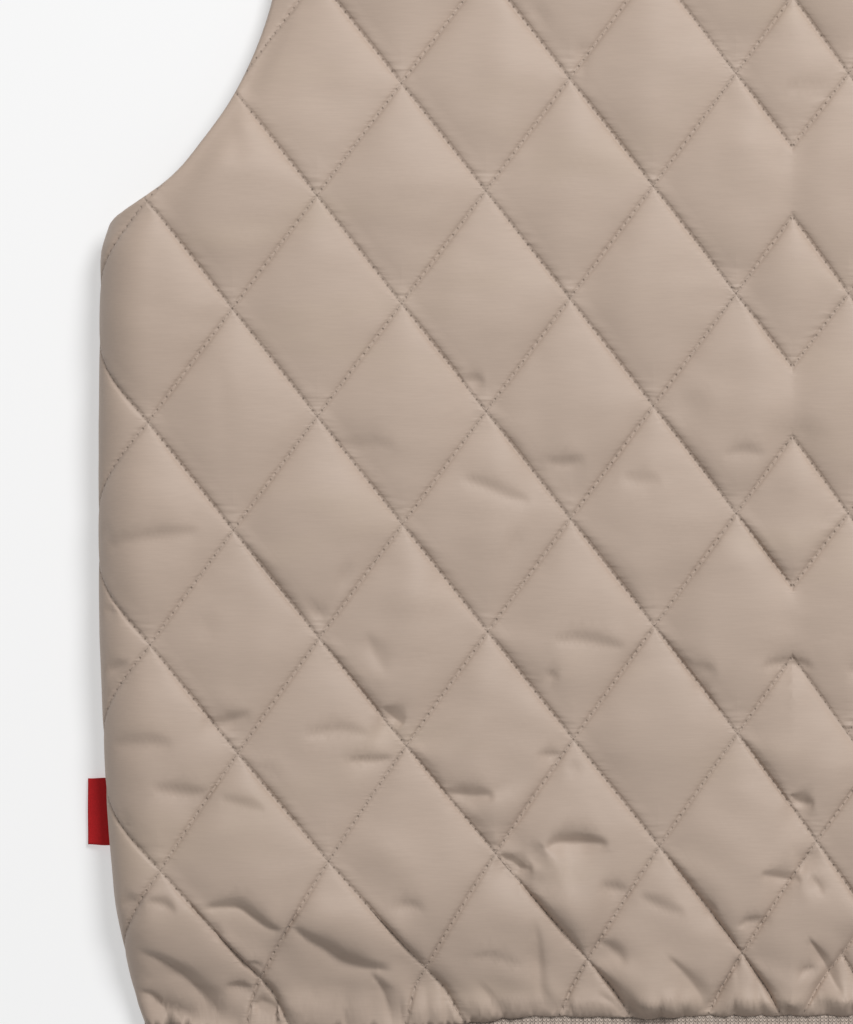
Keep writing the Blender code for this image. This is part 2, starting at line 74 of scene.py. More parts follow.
# The side fold's cross-section: how far it rounds out and up, its widest point's height
# and the back's wall.
Fold = namedtuple("Fold", "out up widest wall")
BODY_FOLD = Fold(0.0180, 0.0130, 0.0110, 0.0045)
HEM_FOLD = Fold(0.0042, 0.0042, 0.0042, 0.0034)
BAND_FOLD = Fold(0.0040, 0.0040, 0.0040, 0.0034)

# Side fold: height and half width.
SIDE_FOLD = (
    (0.000, 0.2535), (0.010, 0.2574), (0.026, 0.2609), (0.057, 0.2652), (0.096, 0.2683),
    (0.127, 0.2695), (0.170, 0.2707), (0.240, 0.2705), (0.285, 0.2702), (0.300, 0.2695),
    (0.310, 0.2668), (0.330, 0.2660), (0.620, 0.2660),
)
# Armhole: height, the back's half width and the front's.
ARMHOLE = (
    (0.314, 0.2625, 0.2610), (0.318, 0.2562, 0.2530), (0.323, 0.2480, 0.2435),
    (0.330, 0.2400, 0.2335), (0.342, 0.2305, 0.2210), (0.357, 0.2200, 0.2085),
    (0.373, 0.2118, 0.1985), (0.396, 0.2036, 0.1890), (0.425, 0.1985, 0.1835),
    (0.460, 0.1965, 0.1820), (0.500, 0.1985, 0.1860), (0.530, 0.2030, 0.1950),
    (0.553, 0.2090, 0.2090),
)
NECK_POINT = (0.085, 0.597)
BACK_NECK = ((0.076, 0.5885), (0.058, 0.5805), (0.030, 0.5775), (0.000, 0.5770))
FRONT_NECK = ((0.0815, 0.576), (0.073, 0.546), (0.056, 0.518), (0.030, 0.503), (0.000, 0.499))
LAP = 0.015
LAP_TURN = (0.018, 0.030)
BAND_HEIGHT = 0.045
TUCK_FADE = 0.02              # length beside the side fold in which the band's tuck ends

# Quilting: a lattice of diamonds, mirrored at the centre back except low down.
DIAMOND_WIDTH = 0.066
DIAMOND_HEIGHT = 0.086
LATTICE_SIDE = 0.0226
LATTICE_HEIGHT = 0.0246
LATTICE_DROP = 0.030
# The hem's gathers pull the quilting towards the middle, most beside the hem.
PULL_BODY = 0.002
PULL_HEM = 0.0145
PULL_HEIGHT = 0.055
PULL_WIDTH = 0.060
PULL_DROP = 0.006
PULL_DROP_HEIGHT = 0.090
PULL_DROP_WIDTH = 0.250
CENTRE_SOFTENING = 0.005      # the padding runs on smoothly over the centre line
# Below this rising stitch line and over this falling one the quilting isn't mirrored at the
# centre back but runs on over it.
RUNS_ON = (1.0, 0.0)
RUNS_ON_LINES = (((0.0, 0.66), (0.0, 1.70)), ((0.38, 1.0), (-0.80, 1.0)))
LINE_LENGTH = math.hypot(DIAMOND_WIDTH, DIAMOND_HEIGHT) / 2
LINE_SPACING = DIAMOND_WIDTH * DIAMOND_HEIGHT / 2 / LINE_LENGTH
# Numbers of the stitch lines: those that a panel's mesh spans, and those that bear stitches.
RISING_LINES, FALLING_LINES = (-1, 12), (-5, 8)
STITCH_LINES = range(-6, 13)

LABEL_HEIGHTS = (0.0660, 0.0922)
LABEL_REACH = 0.2757
LABEL_END = 0.0016
LABEL_WALL = 0.0011

# The creases that the photograph shows on the back, in millimetres: points of the crisp
# lower edge, to the right of the centre back and above the hem seam, then the half width of
# the steep side over it and the depth.
CREASES = (
    (((-256, 28), (-247, 24.5), (-240, 19.5), (-232, 12), (-224, 5), (-217, -1)), 3.5, 4.4),
    (((-231, 43), (-222, 43.5), (-216, 43), (-210, 39), (-203, 35), (-198, 34.5)), 2.6, 4.3),
    (((-196.5, 37.5), (-189, 31.5), (-182, 27), (-176, 22.5), (-168, 20.5), (-155, 19.5)),
     3.5, 4.6),
    (((-165, 19), (-160, 12), (-156, 5), (-154, 1)), 3.4, 3.8),
    (((-256, 11), (-251, 10), (-246, 7), (-240, 5.5)), 1.5, 2.6),
    (((-222, 13.5), (-216, 12), (-210, 10.5)), 1.6, 2.2),
    (((-212, 8), (-206, 7), (-201, 6)), 1.5, 2.7),
    (((-214, 22), (-210, 21.5), (-206, 19.5)), 1.1, 1.5),
    (((-176, 6.5), (-174, 4), (-172, 0)), 1.5, 2.8),
    (((-262, 44), (-257, 45.5), (-253, 47)), 1.7, 2.1),
    (((-251, 46), (-246, 44.5), (-240, 41.5)), 1.8, 2.3),
    (((-158, 41.5), (-154, 43.5), (-148, 43.5), (-143, 42)), 1.6, 1.6),
    (((-265, 107), (-250, 107), (-241, 107)), 2.3, 1.8),
    (((-250, 90), (-243, 88.5), (-235, 87.5), (-227, 88)), 2.2, 2.3),
    (((-224, 86), (-214, 83), (-205, 81)), 2.0, 1.5),
    (((-231, 116), (-226, 114), (-219, 116), (-211, 119)), 1.8, 1.9),
    (((-192, 110.5), (-176, 112), (-164, 110)), 1.9, 1.5),
    (((-176, 100.5), (-165, 100), (-155, 101)), 1.3, 2.0),
    (((-210, 97), (-198, 96)), 1.2, 1.1),
    (((-137, 88), (-128, 87), (-116, 86.5)), 2.6, 2.8),
    (((-260, 77), (-256, 76)), 1.2, 1.2),
    (((-226, 36), (-222, 33)), 1.1, 1.2),
    (((-127, 24), (-118, 24.5), (-108, 21.5), (-104, 20.5)), 1.6, 1.4),
    (((-100, 39), (-99, 30), (-98.5, 18), (-97, 9), (-93, 5)), 1.8, 2.4),
    (((-88, 6), (-86, 2), (-84, 0)), 1.3, 1.8),
    (((-114, 5), (-109, 0)), 1.1, 1.5),
    (((-114, 64), (-110, 60), (-106, 58.3), (-101, 58.2)), 2.6, 3.6),
    (((-96.5, 66), (-100, 62), (-103.5, 58)), 3.6, 1.5),
    (((-98, 65), (-93, 68), (-86, 68.3), (-78, 68), (-71, 67.5)), 2.8, 4.4),
    (((-76, 52), (-70, 50), (-63, 49)), 1.7, 2.3),
    (((-60, 48), (-54, 44.5), (-47, 41.5), (-41, 40.5)), 2.2, 2.1),
    (((-77, 30), (-71, 27), (-64, 21)), 2.2, 2.3),
    (((-63, 3), (-57, 0), (-50, -1.5)), 2.9, 2.8),
    (((-50, 26), (-44, 20), (-39, 14), (-35, 8), (-33, 4)), 2.3, 2.5),
    (((-32, 4), (-27, 11), (-23, 16)), 1.4, 1.7),
    (((-24, 20), (-20, 20.5)), 1.0, 1.2),
    (((-13, 56), (-6, 54.5), (0, 53.5), (4, 54)), 2.0, 2.8),
    (((3, 55), (5, 61), (11, 65)), 1.4, 1.9),
    (((-22, 34), (-19, 37), (-14, 37.5), (-7, 37.5)), 1.3, 2.0),
    (((-35, 43), (-29, 42)), 1.1, 1.3),
    (((6, 32), (10, 26), (14, 19), (18, 12), (21, 8)), 1.8, 2.7),
    (((7, 55), (11, 50), (12, 47)), 1.3, 1.6),
    (((2, 14), (4, 18), (8, 19), (11, 18)), 1.1, 1.6),
    (((7, 10), (10, 6), (14, 1), (16, -1)), 1.6, 2.2),
    (((17, 5), (23, 4)), 1.1, 1.3),
    (((-1, 87), (3, 84), (9, 83)), 2.3, 2.8),
    (((-100, 103), (-95, 102), (-89, 102)), 1.2, 1.6),
    (((-88, 98), (-82, 96)), 1.1, 0.9),
    (((-269, 159), (-262, 158)), 1.2, 1.3),
    (((-269, 135), (-263, 136.5), (-258, 139)), 1.3, 1.7),
    (((-268, 127), (-263, 128)), 1.1, 1.1),
    (((-160, 121), (-155, 117), (-151, 114)), 2.9, 2.7),
    (((-166, 150), (-162, 141), (-158, 134)), 2.9, 1.5),
    (((-188, 157), (-181, 158)), 1.0, 0.9),
    (((-97, 134), (-91, 132)), 1.8, 1.6),
    (((-95, 147), (-85, 147.5), (-76, 146), (-64, 144)), 2.3, 2.1),
    (((-41, 136), (-29, 135)), 2.0, 1.5),
    (((-13, 137), (-2, 138), (9, 137)), 1.6, 2.3),
    (((-268, 182), (-258, 186), (-245, 188), (-230, 190)), 2.3, 1.9),
    (((-269, 189), (-265, 191)), 1.1, 1.1),
    (((-112, 187), (-104, 184)), 2.0, 1.0),
    (((-130, 211), (-122, 208), (-110, 203), (-101, 201)), 2.3, 2.0),
    (((-97, 217), (-89, 216), (-81, 218)), 1.9, 1.8),
    (((-67, 212), (-59, 209), (-51, 210)), 2.5, 1.4),
    (((-28, 219), (-19, 221), (-10, 219)), 1.8, 1.3),
    (((-180, 222), (-167, 223), (-154, 223)), 2.5, 1.3),
    (((-17, 229), (-7, 228), (8, 228), (17, 229)), 2.5, 1.0),
    (((-47, 240), (-31, 239)), 2.9, 1.0),
    (((-129, 249), (-120, 248)), 1.8, 1.5),
    (((-178, 174), (-171, 171)), 1.9, 1.1),
    (((-190, 163), (-181, 154)), 1.7, 1.1),
    (((-222, 256), (-221, 230), (-220, 207)), 3.6, 0.9),
    (((-228, 158), (-227, 145)), 2.9, 0.9),
    (((-85, 377), (-79, 377)), 1.7, 1.0),
    (((-8, 361), (5, 363), (18, 362)), 2.3, 1.0),
    (((-103, 392), (-94, 391)), 1.7, 1.0),
    (((-218, 351), (-216, 330)), 2.8, 1.0),
)
MIRRORED_FROM = -16           # creases left of this recur on the right, varied
CREASE_SHIFT = 9
HEM_CREASE = 0.006            # a crease that ends lower than this runs into the hem seam
HEM_RUN = 8                   # and this many of its path's steps on
CREASE_RIDGE = 0.15           # height of the ridge over it, as a share of the depth
FOOT_SHIFT = 0.28             # the foot lies this many half widths below the edge that shows
CREASE_SPAN = 13              # half widths from its line within which a crease is felt
CREASE_ENDS = (0.45, 0.14)    # shares of its length over which it widens and deepens
CREASE_NARROWEST = 0.35       # share of its half width that is left at an end
CREASE_WIDENING = 0.35        # how much wider than on average its lower end is
CREASE_FADE = (2.6, 5.0)      # half widths from which its upper side fades, and over which
FOOT_FADE = 3.2               # half widths over which its lower side fades
# Seams whose cloth stands up on their upper side: the number of the falling stitch line, from
# and to which rising one, then the half width of the steep side and its rise in millimetres.
SEAM_FOLDS = (
    (-3, 3.45, 2.60, 1.4, 1.7),
    (-2, 2.60, 1.55, 1.4, 1.2),
    (-1, 1.68, 1.02, 2.2, 3.0),
    (-1, 0.99, 0.44, 2.7, 3.8),
    (0, 0.98, 0.05, 1.8, 1.9),
    (0, -0.03, -0.62, 1.9, 2.4),
    (1, 0.98, 0.42, 1.8, 1.8),
    (-1, 2.98, 2.60, 2.1, 2.3),
    (-1, 2.42, 2.02, 3.2, 2.2),
    (0, 3.00, 2.48, 1.7, 1.2),
    (1, 3.02, 2.05, 1.7, 1.1),
    (1, 1.96, 1.28, 1.9, 1.3),
    (1, 3.96, 3.45, 1.5, 0.9),
    (2, 2.94, 2.13, 1.5, 0.8),
    (2, 1.96, 1.35, 1.6, 1.3),
    (-1, 4.97, 4.05, 1.5, 0.8),
    (-1, 3.98, 3.18, 1.9, 1.3),
    (0, 3.98, 3.14, 1.4, 0.7),
    (-2, 4.05, 3.30, 1.5, 1.0),
)
FINE_HEM = 0.016              # height up to which the back's mesh is refined
HEM_TURN = 0.012              # height up to which the hem hangs over the band
OVERHANG = (                  # distance from the centre back and how far the hem hangs over
    (0.000, 0.0013), (0.030, 0.0014), (0.050, 0.0025), (0.112, 0.0028), (0.140, 0.0070),
    (0.260, 0.0074),
)
HANG_FADE = (0.250, 0.260)    # it stops hanging over between these half widths
# Creases at least this deep, in millimetres, are refined this close, in half widths.
FINE_CREASES = ((1.3, 1.9), (2.5, 1.1))
HIGH_CREASES = (              # similar ones above the photograph's edge
    (((-150, 441), (-132, 437)), 1.9, 1.4),
    (((-88, 470), (-70, 474), (-52, 471)), 1.9, 1.3),
    (((-178, 486), (-165, 497)), 1.9, 1.4),
    (((34, 448), (52, 444)), 1.9, 1.3),
    (((104, 497), (121, 503)), 1.9, 1.4),
    (((168, 452), (180, 440)), 1.9, 1.4),
    (((-30, 528), (-8, 531), (14, 528)), 2.1, 1.3),
    (((-128, 540), (-112, 548)), 1.7, 1.3),
    (((118, 552), (136, 546)), 1.7, 1.3),
)
GATHERED = (0.13, 0.19)       # the hem's pleats fade out between these half widths
# Padding: the share of the narrow dip beside a stitch line, high up and near the hem, the
# heights between which it changes, and what is left of dip and crown where the cloth is taut.
DIP_SHARE = (0.24, 0.36)
DIP_HEIGHTS = (0.030, 0.100)
TAUT_DIP, TAUT_CROWN = 0.9, 0.2
CROWN_FULLNESS = 2.5
UNEVEN = 0.20                 # how far one diamond's rise differs from another's
UNEVEN_FADE = 0.025           # and the distance from the centre back in which it begins
# Sets of pleats: how many times as many as the gathers, height up the cloth and rise.
PLEAT_SETS = ((1.0, 0.017, 0.0025), (2.3, 0.009, 0.0011))
PLEAT_FOOT = 0.0030           # height in which a pleat stands up from the hem seam
PLEAT_LEAN = 14               # pleats that a pleat leans sideways for each metre of height
PLEAT_SHARPNESS = 0.75
# Soft wrinkles of the back: rise, length, width, angle in degrees and number of the noise.
WRINKLES = (
    (0.00050, 0.040, 0.024, -18, 11),
    (0.00038, 0.030, 0.010, -6, 12),
    (0.00022, 0.018, 0.006, 4, 16),
    (0.00070, 0.065, 0.014, 84, 17),
)
HEM_WRINKLES = (0.00150, 0.034, 0.011, -34, 13)
PUCKERS = ((0.00048, 0.006, 0.014, 38, 14), (0.00048, 0.006, 0.014, -38, 15))
SLACK_HEIGHTS = (0.020, 0.130)      # the cloth is slack below the first, and taut over the second
PUCKER_REACH = 0.005          # distance from a stitch line over which its puckers fade
HELD_REACH = 0.0012           # distance from a stitch line in which it holds creases down
DEEPEST = -0.0011             # the lowest that the back's face lies under its stitch lines


def ease(value):
    """Smooth step from 0 to 1."""
    t = np.clip(value, 0.0, 1.0)
    return t * t * (3.0 - 2.0 * t)


def between(low, high, share):
    return low + (high - low) * share


def rise_between(ends, value):
    """Smooth step from 0 at the first of two places to 1 at the second."""
    return ease((value - ends[0]) / (ends[1] - ends[0]))


def read(table, where, column=1):
    """A smooth curve through a table's rows."""
    rows = np.array(table)
    knots, values = rows[:, 0], rows[:, column]
    slopes = np.gradient(values, knots)
    where = np.clip(where, knots[0], knots[-1])
    k = np.clip(np.searchsorted(knots, where) - 1, 0, len(knots) - 2)
    span = knots[k + 1] - knots[k]
    t = (where - knots[k]) / span
    return (between(values[k], values[k + 1], ease(t))
            + span * t * (1 - t) * ((1 - t) * slopes[k] - t * slopes[k + 1]))


def smooth_line(points, step):
    """Evenly spaced points on a smooth curve through a few."""
    points = np.array(points, float)
    along = np.concatenate([[0], np.cumsum(np.linalg.norm(np.diff(points, axis=0), axis=1))])
    stops = np.linspace(0, along[-1], max(2, round(along[-1] / step) + 1))
    return np.stack([read(np.stack([along, points[:, k]], -1), stops) for k in (0, 1)], -1)


def quarter(a, b):
    """Length of a quarter of an ellipse."""
    return 0.5 * math.pi * np.sqrt((a ** 2 + b ** 2) / 2)


def fold_at(height):
    """The side fold's cross-section at a height, which narrows towards the hem."""
    share = ease(np.asarray(height) / HEM_REACH)
    return Fold(*(between(low, high, share) for low, high in zip(HEM_FOLD, BODY_FOLD)))


def front_wall(height):
    """Thickness of the fronts, which thin towards the hem."""
    return between(HEM_FRONT_WALL, FRONT_WALL, np.clip(np.asarray(height) / WALL_RAMP, 0, 1))


def seam_arc(height, over):
    """Arc length from the centre line to the side seam, over the top or along the bottom."""
    fold = fold_at(height)
    low = quarter(fold.out, fold.widest)
    flat = read(SIDE_FOLD, height) - fold.out
    share = SEAM_ANGLE / (0.5 * math.pi)
    if over:
        return flat + quarter(fold.out, fold.up) + low * share
    return flat + low * (1 - share) - SEAM_GAP


def arc_at(half_width, height, over):
    """Arc length from the centre line to a half width."""
    fold = fold_at(height)
    edge = read(SIDE_FOLD, height)
    inset = edge - half_width
    if inset > fold.out:
        return half_width
    turn = math.acos(1 - inset / fold.out) / (0.5 * math.pi)
    length = quarter(fold.out, fold.up if over else fold.widest)
    return float(edge - fold.out + length * (1 - turn))


def path_nearest(path, points, chunk=6000):
    """Distance from points to a path, its nearest places and how far along it they lie."""
    start, leg = path[:-1], np.diff(path, axis=0)
    size = np.maximum((leg ** 2).sum(-1), 1e-18)
    before = np.concatenate([[0], np.cumsum(np.sqrt(size))])
    away, nearest, along = [], [], []
    for first in range(0, len(points), chunk):
        offset = points[first:first + chunk, None] - start[None]
        t = np.clip((offset * leg).sum(-1) / size, 0, 1)
        gap = np.linalg.norm(offset - leg * t[..., None], axis=-1)
        best = gap.argmin(1)
        rows = np.arange(len(best))
        away.append(gap[rows, best])
        nearest.append(start[best] + leg[best] * t[rows, best, None])
        along.append(before[best] + t[rows, best] * np.sqrt(size[best]))
    return np.concatenate(away), np.concatenate(nearest), np.concatenate(along) / before[-1]


def path_distance(path, points):
    """Distance from points to a path, and the path's nearest places."""
    return path_nearest(path, points)[:2]


def within(loop, points):
    """Whether points lie inside a closed loop."""
    ends = np.roll(loop, -1, axis=0)
    x, y = points[:, :1], points[:, 1:]
    crosses = (loop[:, 1] > y) != (ends[:, 1] > y)
    rise = np.where(loop[:, 1] == ends[:, 1], 1.0, ends[:, 1] - loop[:, 1])
    cut = loop[:, 0] + (y - loop[:, 1]) * (ends[:, 0] - loop[:, 0]) / rise
    return (crosses & (x < cut)).sum(1) % 2 == 1


RIM_PATH = np.array([(row[1], row[0]) for row in ARMHOLE] + [NECK_POINT] + list(BACK_NECK))


def back_surface(arc, height):
    """The back's outer form along its stitch lines."""
    fold = fold_at(height)
    top, low = quarter(fold.out, fold.up), quarter(fold.out, fold.widest)
    edge = read(SIDE_FOLD, height)
    left = edge - fold.out + top - np.abs(arc)
    turn = 0.5 * math.pi * np.clip(np.where(left > 0, left / top, left / low), -1, 1)
    inset = np.where(left > top, fold.out + left - top, fold.out * (1 - np.cos(turn)))
    across = edge - inset
    swell = fold.widest + np.where(left > 0, fold.up, fold.widest) * np.sin(turn)
    rim, _ = path_distance(RIM_PATH, np.stack([np.abs(across), height], -1))
    loft = BACK_LOFT * ease(rim / RIM_REACH) * ease(height / RIM_REACH)
    rest = front_wall(height) + SEAM_GAP + fold.wall + loft
    hold = 1 - ease((inset - fold.out) / FOLD_REACH)
    hold = hold * (1 - rise_between(FOLD_FADE, height))
    level = np.where(left > top, rest + (fold.widest + fold.up - rest) * hold, swell)
    return np.stack([np.sign(arc) * across, height - ORIGIN_HEIGHT, level], -1)


def front_surface(arc, height):
    """The fronts' outer form, which rests on the floor."""
    fold = fold_at(height)
    low = quarter(fold.out, fold.widest)
    edge = read(SIDE_FOLD, height)
    left = edge - fold.out + low - np.abs(arc)
    turn = 0.5 * math.pi * np.clip(left / low, 0, 1)
    inset = np.where(left > low, fold.out + left - low, fold.out * (1 - np.cos(turn)))
    level = fold.widest * (1 - np.sin(turn))
    return np.stack([np.sign(arc) * (edge - inset), height - ORIGIN_HEIGHT, level], -1)


def outward(surface, arc, height, facing):
    """Unit normals of a laid form: facing is 1 for up and -1 for down."""
    step = 0.0004
    along = surface(arc + step, height) - surface(arc - step, height)
    up = surface(arc, height + step) - surface(arc, height - step)
    normal = np.cross(along, up) * facing
    return normal / np.linalg.norm(normal, axis=-1, keepdims=True)


# ---- Outlines of the pattern pieces -----------------------------------------------------
def panel_edge(column, neck, over, step=0.006):
    """A panel's edge on the right, from the centre of its hem round to its neckline."""
    hem_end = float(seam_arc(0.0, over))
    heights = np.linspace(0, UNDERARM_HEIGHT, round(UNDERARM_HEIGHT / step) + 1)
    hem = np.stack([np.linspace(0, hem_end, round(hem_end / step) + 1)[:-1],
                    np.zeros(round(hem_end / step))], -1)
    side = np.stack([seam_arc(heights, over), heights], -1)
    armhole = [side[-1]]
    if over:
        widest = float(read(SIDE_FOLD, UNDERARM_TURN))
        armhole.append((arc_at(widest, UNDERARM_TURN, over), UNDERARM_TURN))
    armhole += [(arc_at(row[column], row[0], over), row[0]) for row in ARMHOLE]
    armhole = smooth_line(armhole, step)
    shoulder = smooth_line([armhole[-1], NECK_POINT], step)
    collar = smooth_line([NECK_POINT] + list(neck), step)
    return np.concatenate([hem, side, armhole[1:], shoulder[1:], collar[1:]])


def back_edge():
    return panel_edge(column=1, neck=BACK_NECK, over=True)


def shoelace(loop):
    """Area inside a loop."""
    ends = np.roll(loop, -1, axis=0)
    return abs((loop[:, 0] * ends[:, 1] - ends[:, 0] * loop[:, 1]).sum()) / 2


# ---- Relief of the quilting -------------------------------------------------------------
def gather_pull(away, height):
    """How far the gathers have moved the quilting: towards the middle and down."""
    pull = PULL_BODY + PULL_HEM * np.exp(-height / PULL_HEIGHT)
    drop = PULL_DROP * (away / PULL_DROP_WIDTH) ** 2 * np.exp(-height / PULL_DROP_HEIGHT)
    return pull * np.sign(away) * (1 - np.exp(-np.abs(away) / PULL_WIDTH)), drop


def lattice_at(away, height):
    """Position across both families of stitch lines, which lie at whole numbers."""
    pull, drop = gather_pull(away, height)
    away, height = away + pull, height + drop
    across = (away - LATTICE_SIDE) / DIAMOND_WIDTH
    along = (height + LATTICE_DROP * away - LATTICE_HEIGHT) / DIAMOND_HEIGHT
    return along + across, along - across


def runs_on(away, height):
    """Whether the quilting runs on over the centre back here, where it isn't mirrored."""
    rise, fall = lattice_at(away, height)
    return (rise < RUNS_ON[0]) & (fall > RUNS_ON[1])


def lattice(arc, height, softening=0.0, over=None):
    """Position in the lattice, which is mirrored at the centre back or runs on over it."""
    away = np.abs(arc)
    over = runs_on(away, height) if over is None else over
    if softening:
        away = np.where((away < softening) & ~over, (away ** 2 / softening + softening) / 2, away)
    return lattice_at(np.where(over & (arc > 0), -arc, away), height)


def lattice_place(rise, fall):
    """Distance from the centre back and height of a place in the lattice."""
    sewn_arc = LATTICE_SIDE + DIAMOND_WIDTH * (rise - fall) / 2
    sewn_height = LATTICE_HEIGHT + DIAMOND_HEIGHT * (rise + fall) / 2 - LATTICE_DROP * sewn_arc
    arc, height = sewn_arc, sewn_height
    for _ in range(12):
        pull, drop = gather_pull(arc, np.maximum(height, 0.0))
        arc, height = sewn_arc - pull, sewn_height - drop
    return arc, height


def seam_distances(arc, height, softening=0.0):
    """Distances to the nearest stitch line of each family."""
    rise, fall = lattice(arc, height, softening)
    rise, fall = line_distance(rise), line_distance(fall)
    beyond = runs_on(np.abs(arc), height) & (arc > 0)
    ends = [np.abs(part - last) * LINE_SPACING
            for part, last in zip(lattice_at(np.abs(arc), height), RUNS_ON)]
    return (np.where(beyond, np.minimum(rise, ends[0]), rise),
            np.where(beyond, np.minimum(fall, ends[1]), fall))


def line_distance(position):
    """Distance to the nearest stitch line of one family."""
    return np.abs(position - np.round(position)) * LINE_SPACING


def soft_noise(x, y, seed):
    """Smooth noise from -1 to 1 with features one unit apart."""
    table = np.random.default_rng(seed).uniform(-1, 1, (64, 64))
    i, j = np.floor(x).astype(int), np.floor(y).astype(int)
    s, t = ease(x - i), ease(y - j)
    corner = [[table[(i + a) % 64, (j + b) % 64] for b in (0, 1)] for a in (0, 1)]
    low, high = (between(corner[0][b], corner[1][b], s) for b in (0, 1))
    return between(low, high, t)


def wrinkles(arc, height, rows):
    """Soft wrinkles: the sum of noises that are each drawn out along a direction."""
    total = 0.0
    for rise, length, width, angle, seed in rows:
        cos, sin = math.cos(math.radians(angle)), math.sin(math.radians(angle))
        along = (arc * cos + height * sin) / length
        across = (height * cos - arc * sin) / width
        total = total + rise * soft_noise(along + 31.7, across + 17.3, seed)
    return total


Crease = namedtuple("Crease", "points width depth foot")


def back_creases():
    """All creases of the back, with varied copies on the side the photograph leaves out."""
    vary = np.random.default_rng(7)
    rows = [Crease(*row, 1.0) for row in CREASES + HIGH_CREASES]
    for points, width, depth in CREASES:
        if points[-1][0] < MIRRORED_FROM:
            shift = vary.uniform(-CREASE_SHIFT, CREASE_SHIFT, 2) * (1, 0.6)
            tilt = vary.uniform(-4, 4)
            last = len(points) - 1
            copy = [(-x + shift[0], y + shift[1] + tilt * k / last)
                    for k, (x, y) in enumerate(points)]
            rows.append(Crease(copy[::-1], width * vary.uniform(0.85, 1.15),
                               depth * vary.uniform(0.7, 1.05), 1.0))
    for line, first, last, width, depth in SEAM_FOLDS:
        rise = np.linspace(first, last, 8)
        arc, height = lattice_place(rise, np.full(8, float(line)))
        for side, share in ((-1, 1.0), (1, vary.uniform(0.6, 1.0))):
            points = np.stack([arc * side, height], -1)[::-side] / MM
            if side < 0 or not (line > RUNS_ON[1] and last < RUNS_ON[0]):
                rows.append(Crease(points, width, depth * share, 0.0))
    return rows


def crease_line(path):
    """A crease's path, which runs on past the panel's edge where it reaches the hem."""
    line = smooth_line(np.array(path) * MM, 2.0 * MM)
    if line[0, 1] < HEM_CREASE:
        line = np.concatenate([[line[0] + (line[0] - line[1]) * HEM_RUN], line])
    if line[-1, 1] < HEM_CREASE:
        line = np.concatenate([line, [line[-1] + (line[-1] - line[-2]) * HEM_RUN]])
    return line


def steep(share):
    """A ramp from 0 to 1 that is straight first and then rounds over, with a slow end."""
    total = 0.0
    for part, reach in ((0.78, 1.0), (0.22, 2.6)):
        t = share / reach
        turn = np.clip((t - 0.55) / 0.9, 0, 1)
        total += part * (t - 0.9 * (turn ** 3 - turn ** 4 / 2) - np.maximum(t - 1.45, 0))
    return total


def crease_relief(arc, height, rows):
    """Steep drops from a low ridge, on the left of each path, to its foot, beyond which the
    cloth rises slowly again."""
    total = np.zeros_like(arc)
    points = np.stack([arc, height], -1)
    for path, width, depth, foot in rows:
        line, width, depth = crease_line(path), width * MM, depth * MM
        low, high = line.min(0) - CREASE_SPAN * width, line.max(0) + CREASE_SPAN * width
        near = np.flatnonzero(((points > low) & (points < high)).all(-1))
        if not len(near):
            continue
        away, closest, share = path_nearest(line, points[near])
        legs = np.linalg.norm(np.diff(line, axis=0), axis=1)
        way, stops = np.gradient(line, axis=0), np.concatenate([[0], np.cumsum(legs)]) / legs.sum()
        way = [np.interp(share, stops, part) for part in way.T]
        off = (points[near] - closest).T
        away = np.where(way[0] * off[1] - way[1] * off[0] > 0, away, -away)
        away = away + foot * FOOT_SHIFT * width
        left, away = away > 0, np.abs(away)
        downhill = (line[0, 1] - line[-1, 1]) / legs.sum()
        swell, onset = 1.0, (share > 0) & (share < 1)
        for end, along in ((0, share), (-1, 1 - share)):
            if line[end, 1] > HEM_CREASE:
                swell = swell * ease(along / CREASE_ENDS[0])
                onset = onset * ease(along / CREASE_ENDS[1])
        swell = between(CREASE_NARROWEST, 1.0, swell)
        gap = away / (width * swell * (1 + CREASE_WIDENING * downhill * (2 * share - 1)))
        fading = CREASE_RIDGE if foot else 1.0
        fading = fading * np.exp(-(np.maximum(gap - CREASE_FADE[0], 0) / CREASE_FADE[1]) ** 2)
        upper = (foot + fading) * steep(gap / 2) - foot
        lower = -foot * np.exp(-gap / FOOT_FADE)
        total[near] += depth * swell * onset * np.where(left, upper, lower)
    return total


def pleats(sizes, arc, share_of):
    """Crest, size and reach of the pleats of one set, share_of times as many as the gathers."""
    seed = round(3 * share_of)
    phase = sizes.gathers * share_of * arc / (2 * float(read(SIDE_FOLD, 0.0)))
    phase = phase + 0.5 * soft_noise(phase * 0.6, phase * 0 + seed, seed)
    size = 0.62 + 0.38 * soft_noise(phase * 0.9, phase * 0 + 9, seed + 1)
    reach = 0.72 + 0.45 * soft_noise(phase * 0.8, phase * 0 + 4, seed + 2)
    return phase, size, reach


def pleat_crest(phase):
    return np.abs(np.sin(math.pi * phase)) ** PLEAT_SHARPNESS


def gathered(arc):
    """1 where the hem is gathered and 0 where it lies smooth, at the sides."""
    return 1 - rise_between(GATHERED, np.abs(arc))


def hem_gathers(sizes, arc, height):
    """Uneven pleats that stand up from the hem seam, with finer ones between."""
    total = np.zeros_like(arc)
    for share_of, reach, rise in PLEAT_SETS:
        phase, size, tall = pleats(sizes, arc, share_of)
        crest = pleat_crest(phase + PLEAT_LEAN * height)
        fade = ease(height / PLEAT_FOOT)
        fade = fade * (1 - ease((height - PLEAT_FOOT) / (reach * tall - PLEAT_FOOT)))
        total += rise * size * fade * (crest - 0.25)
    return total * gathered(arc)


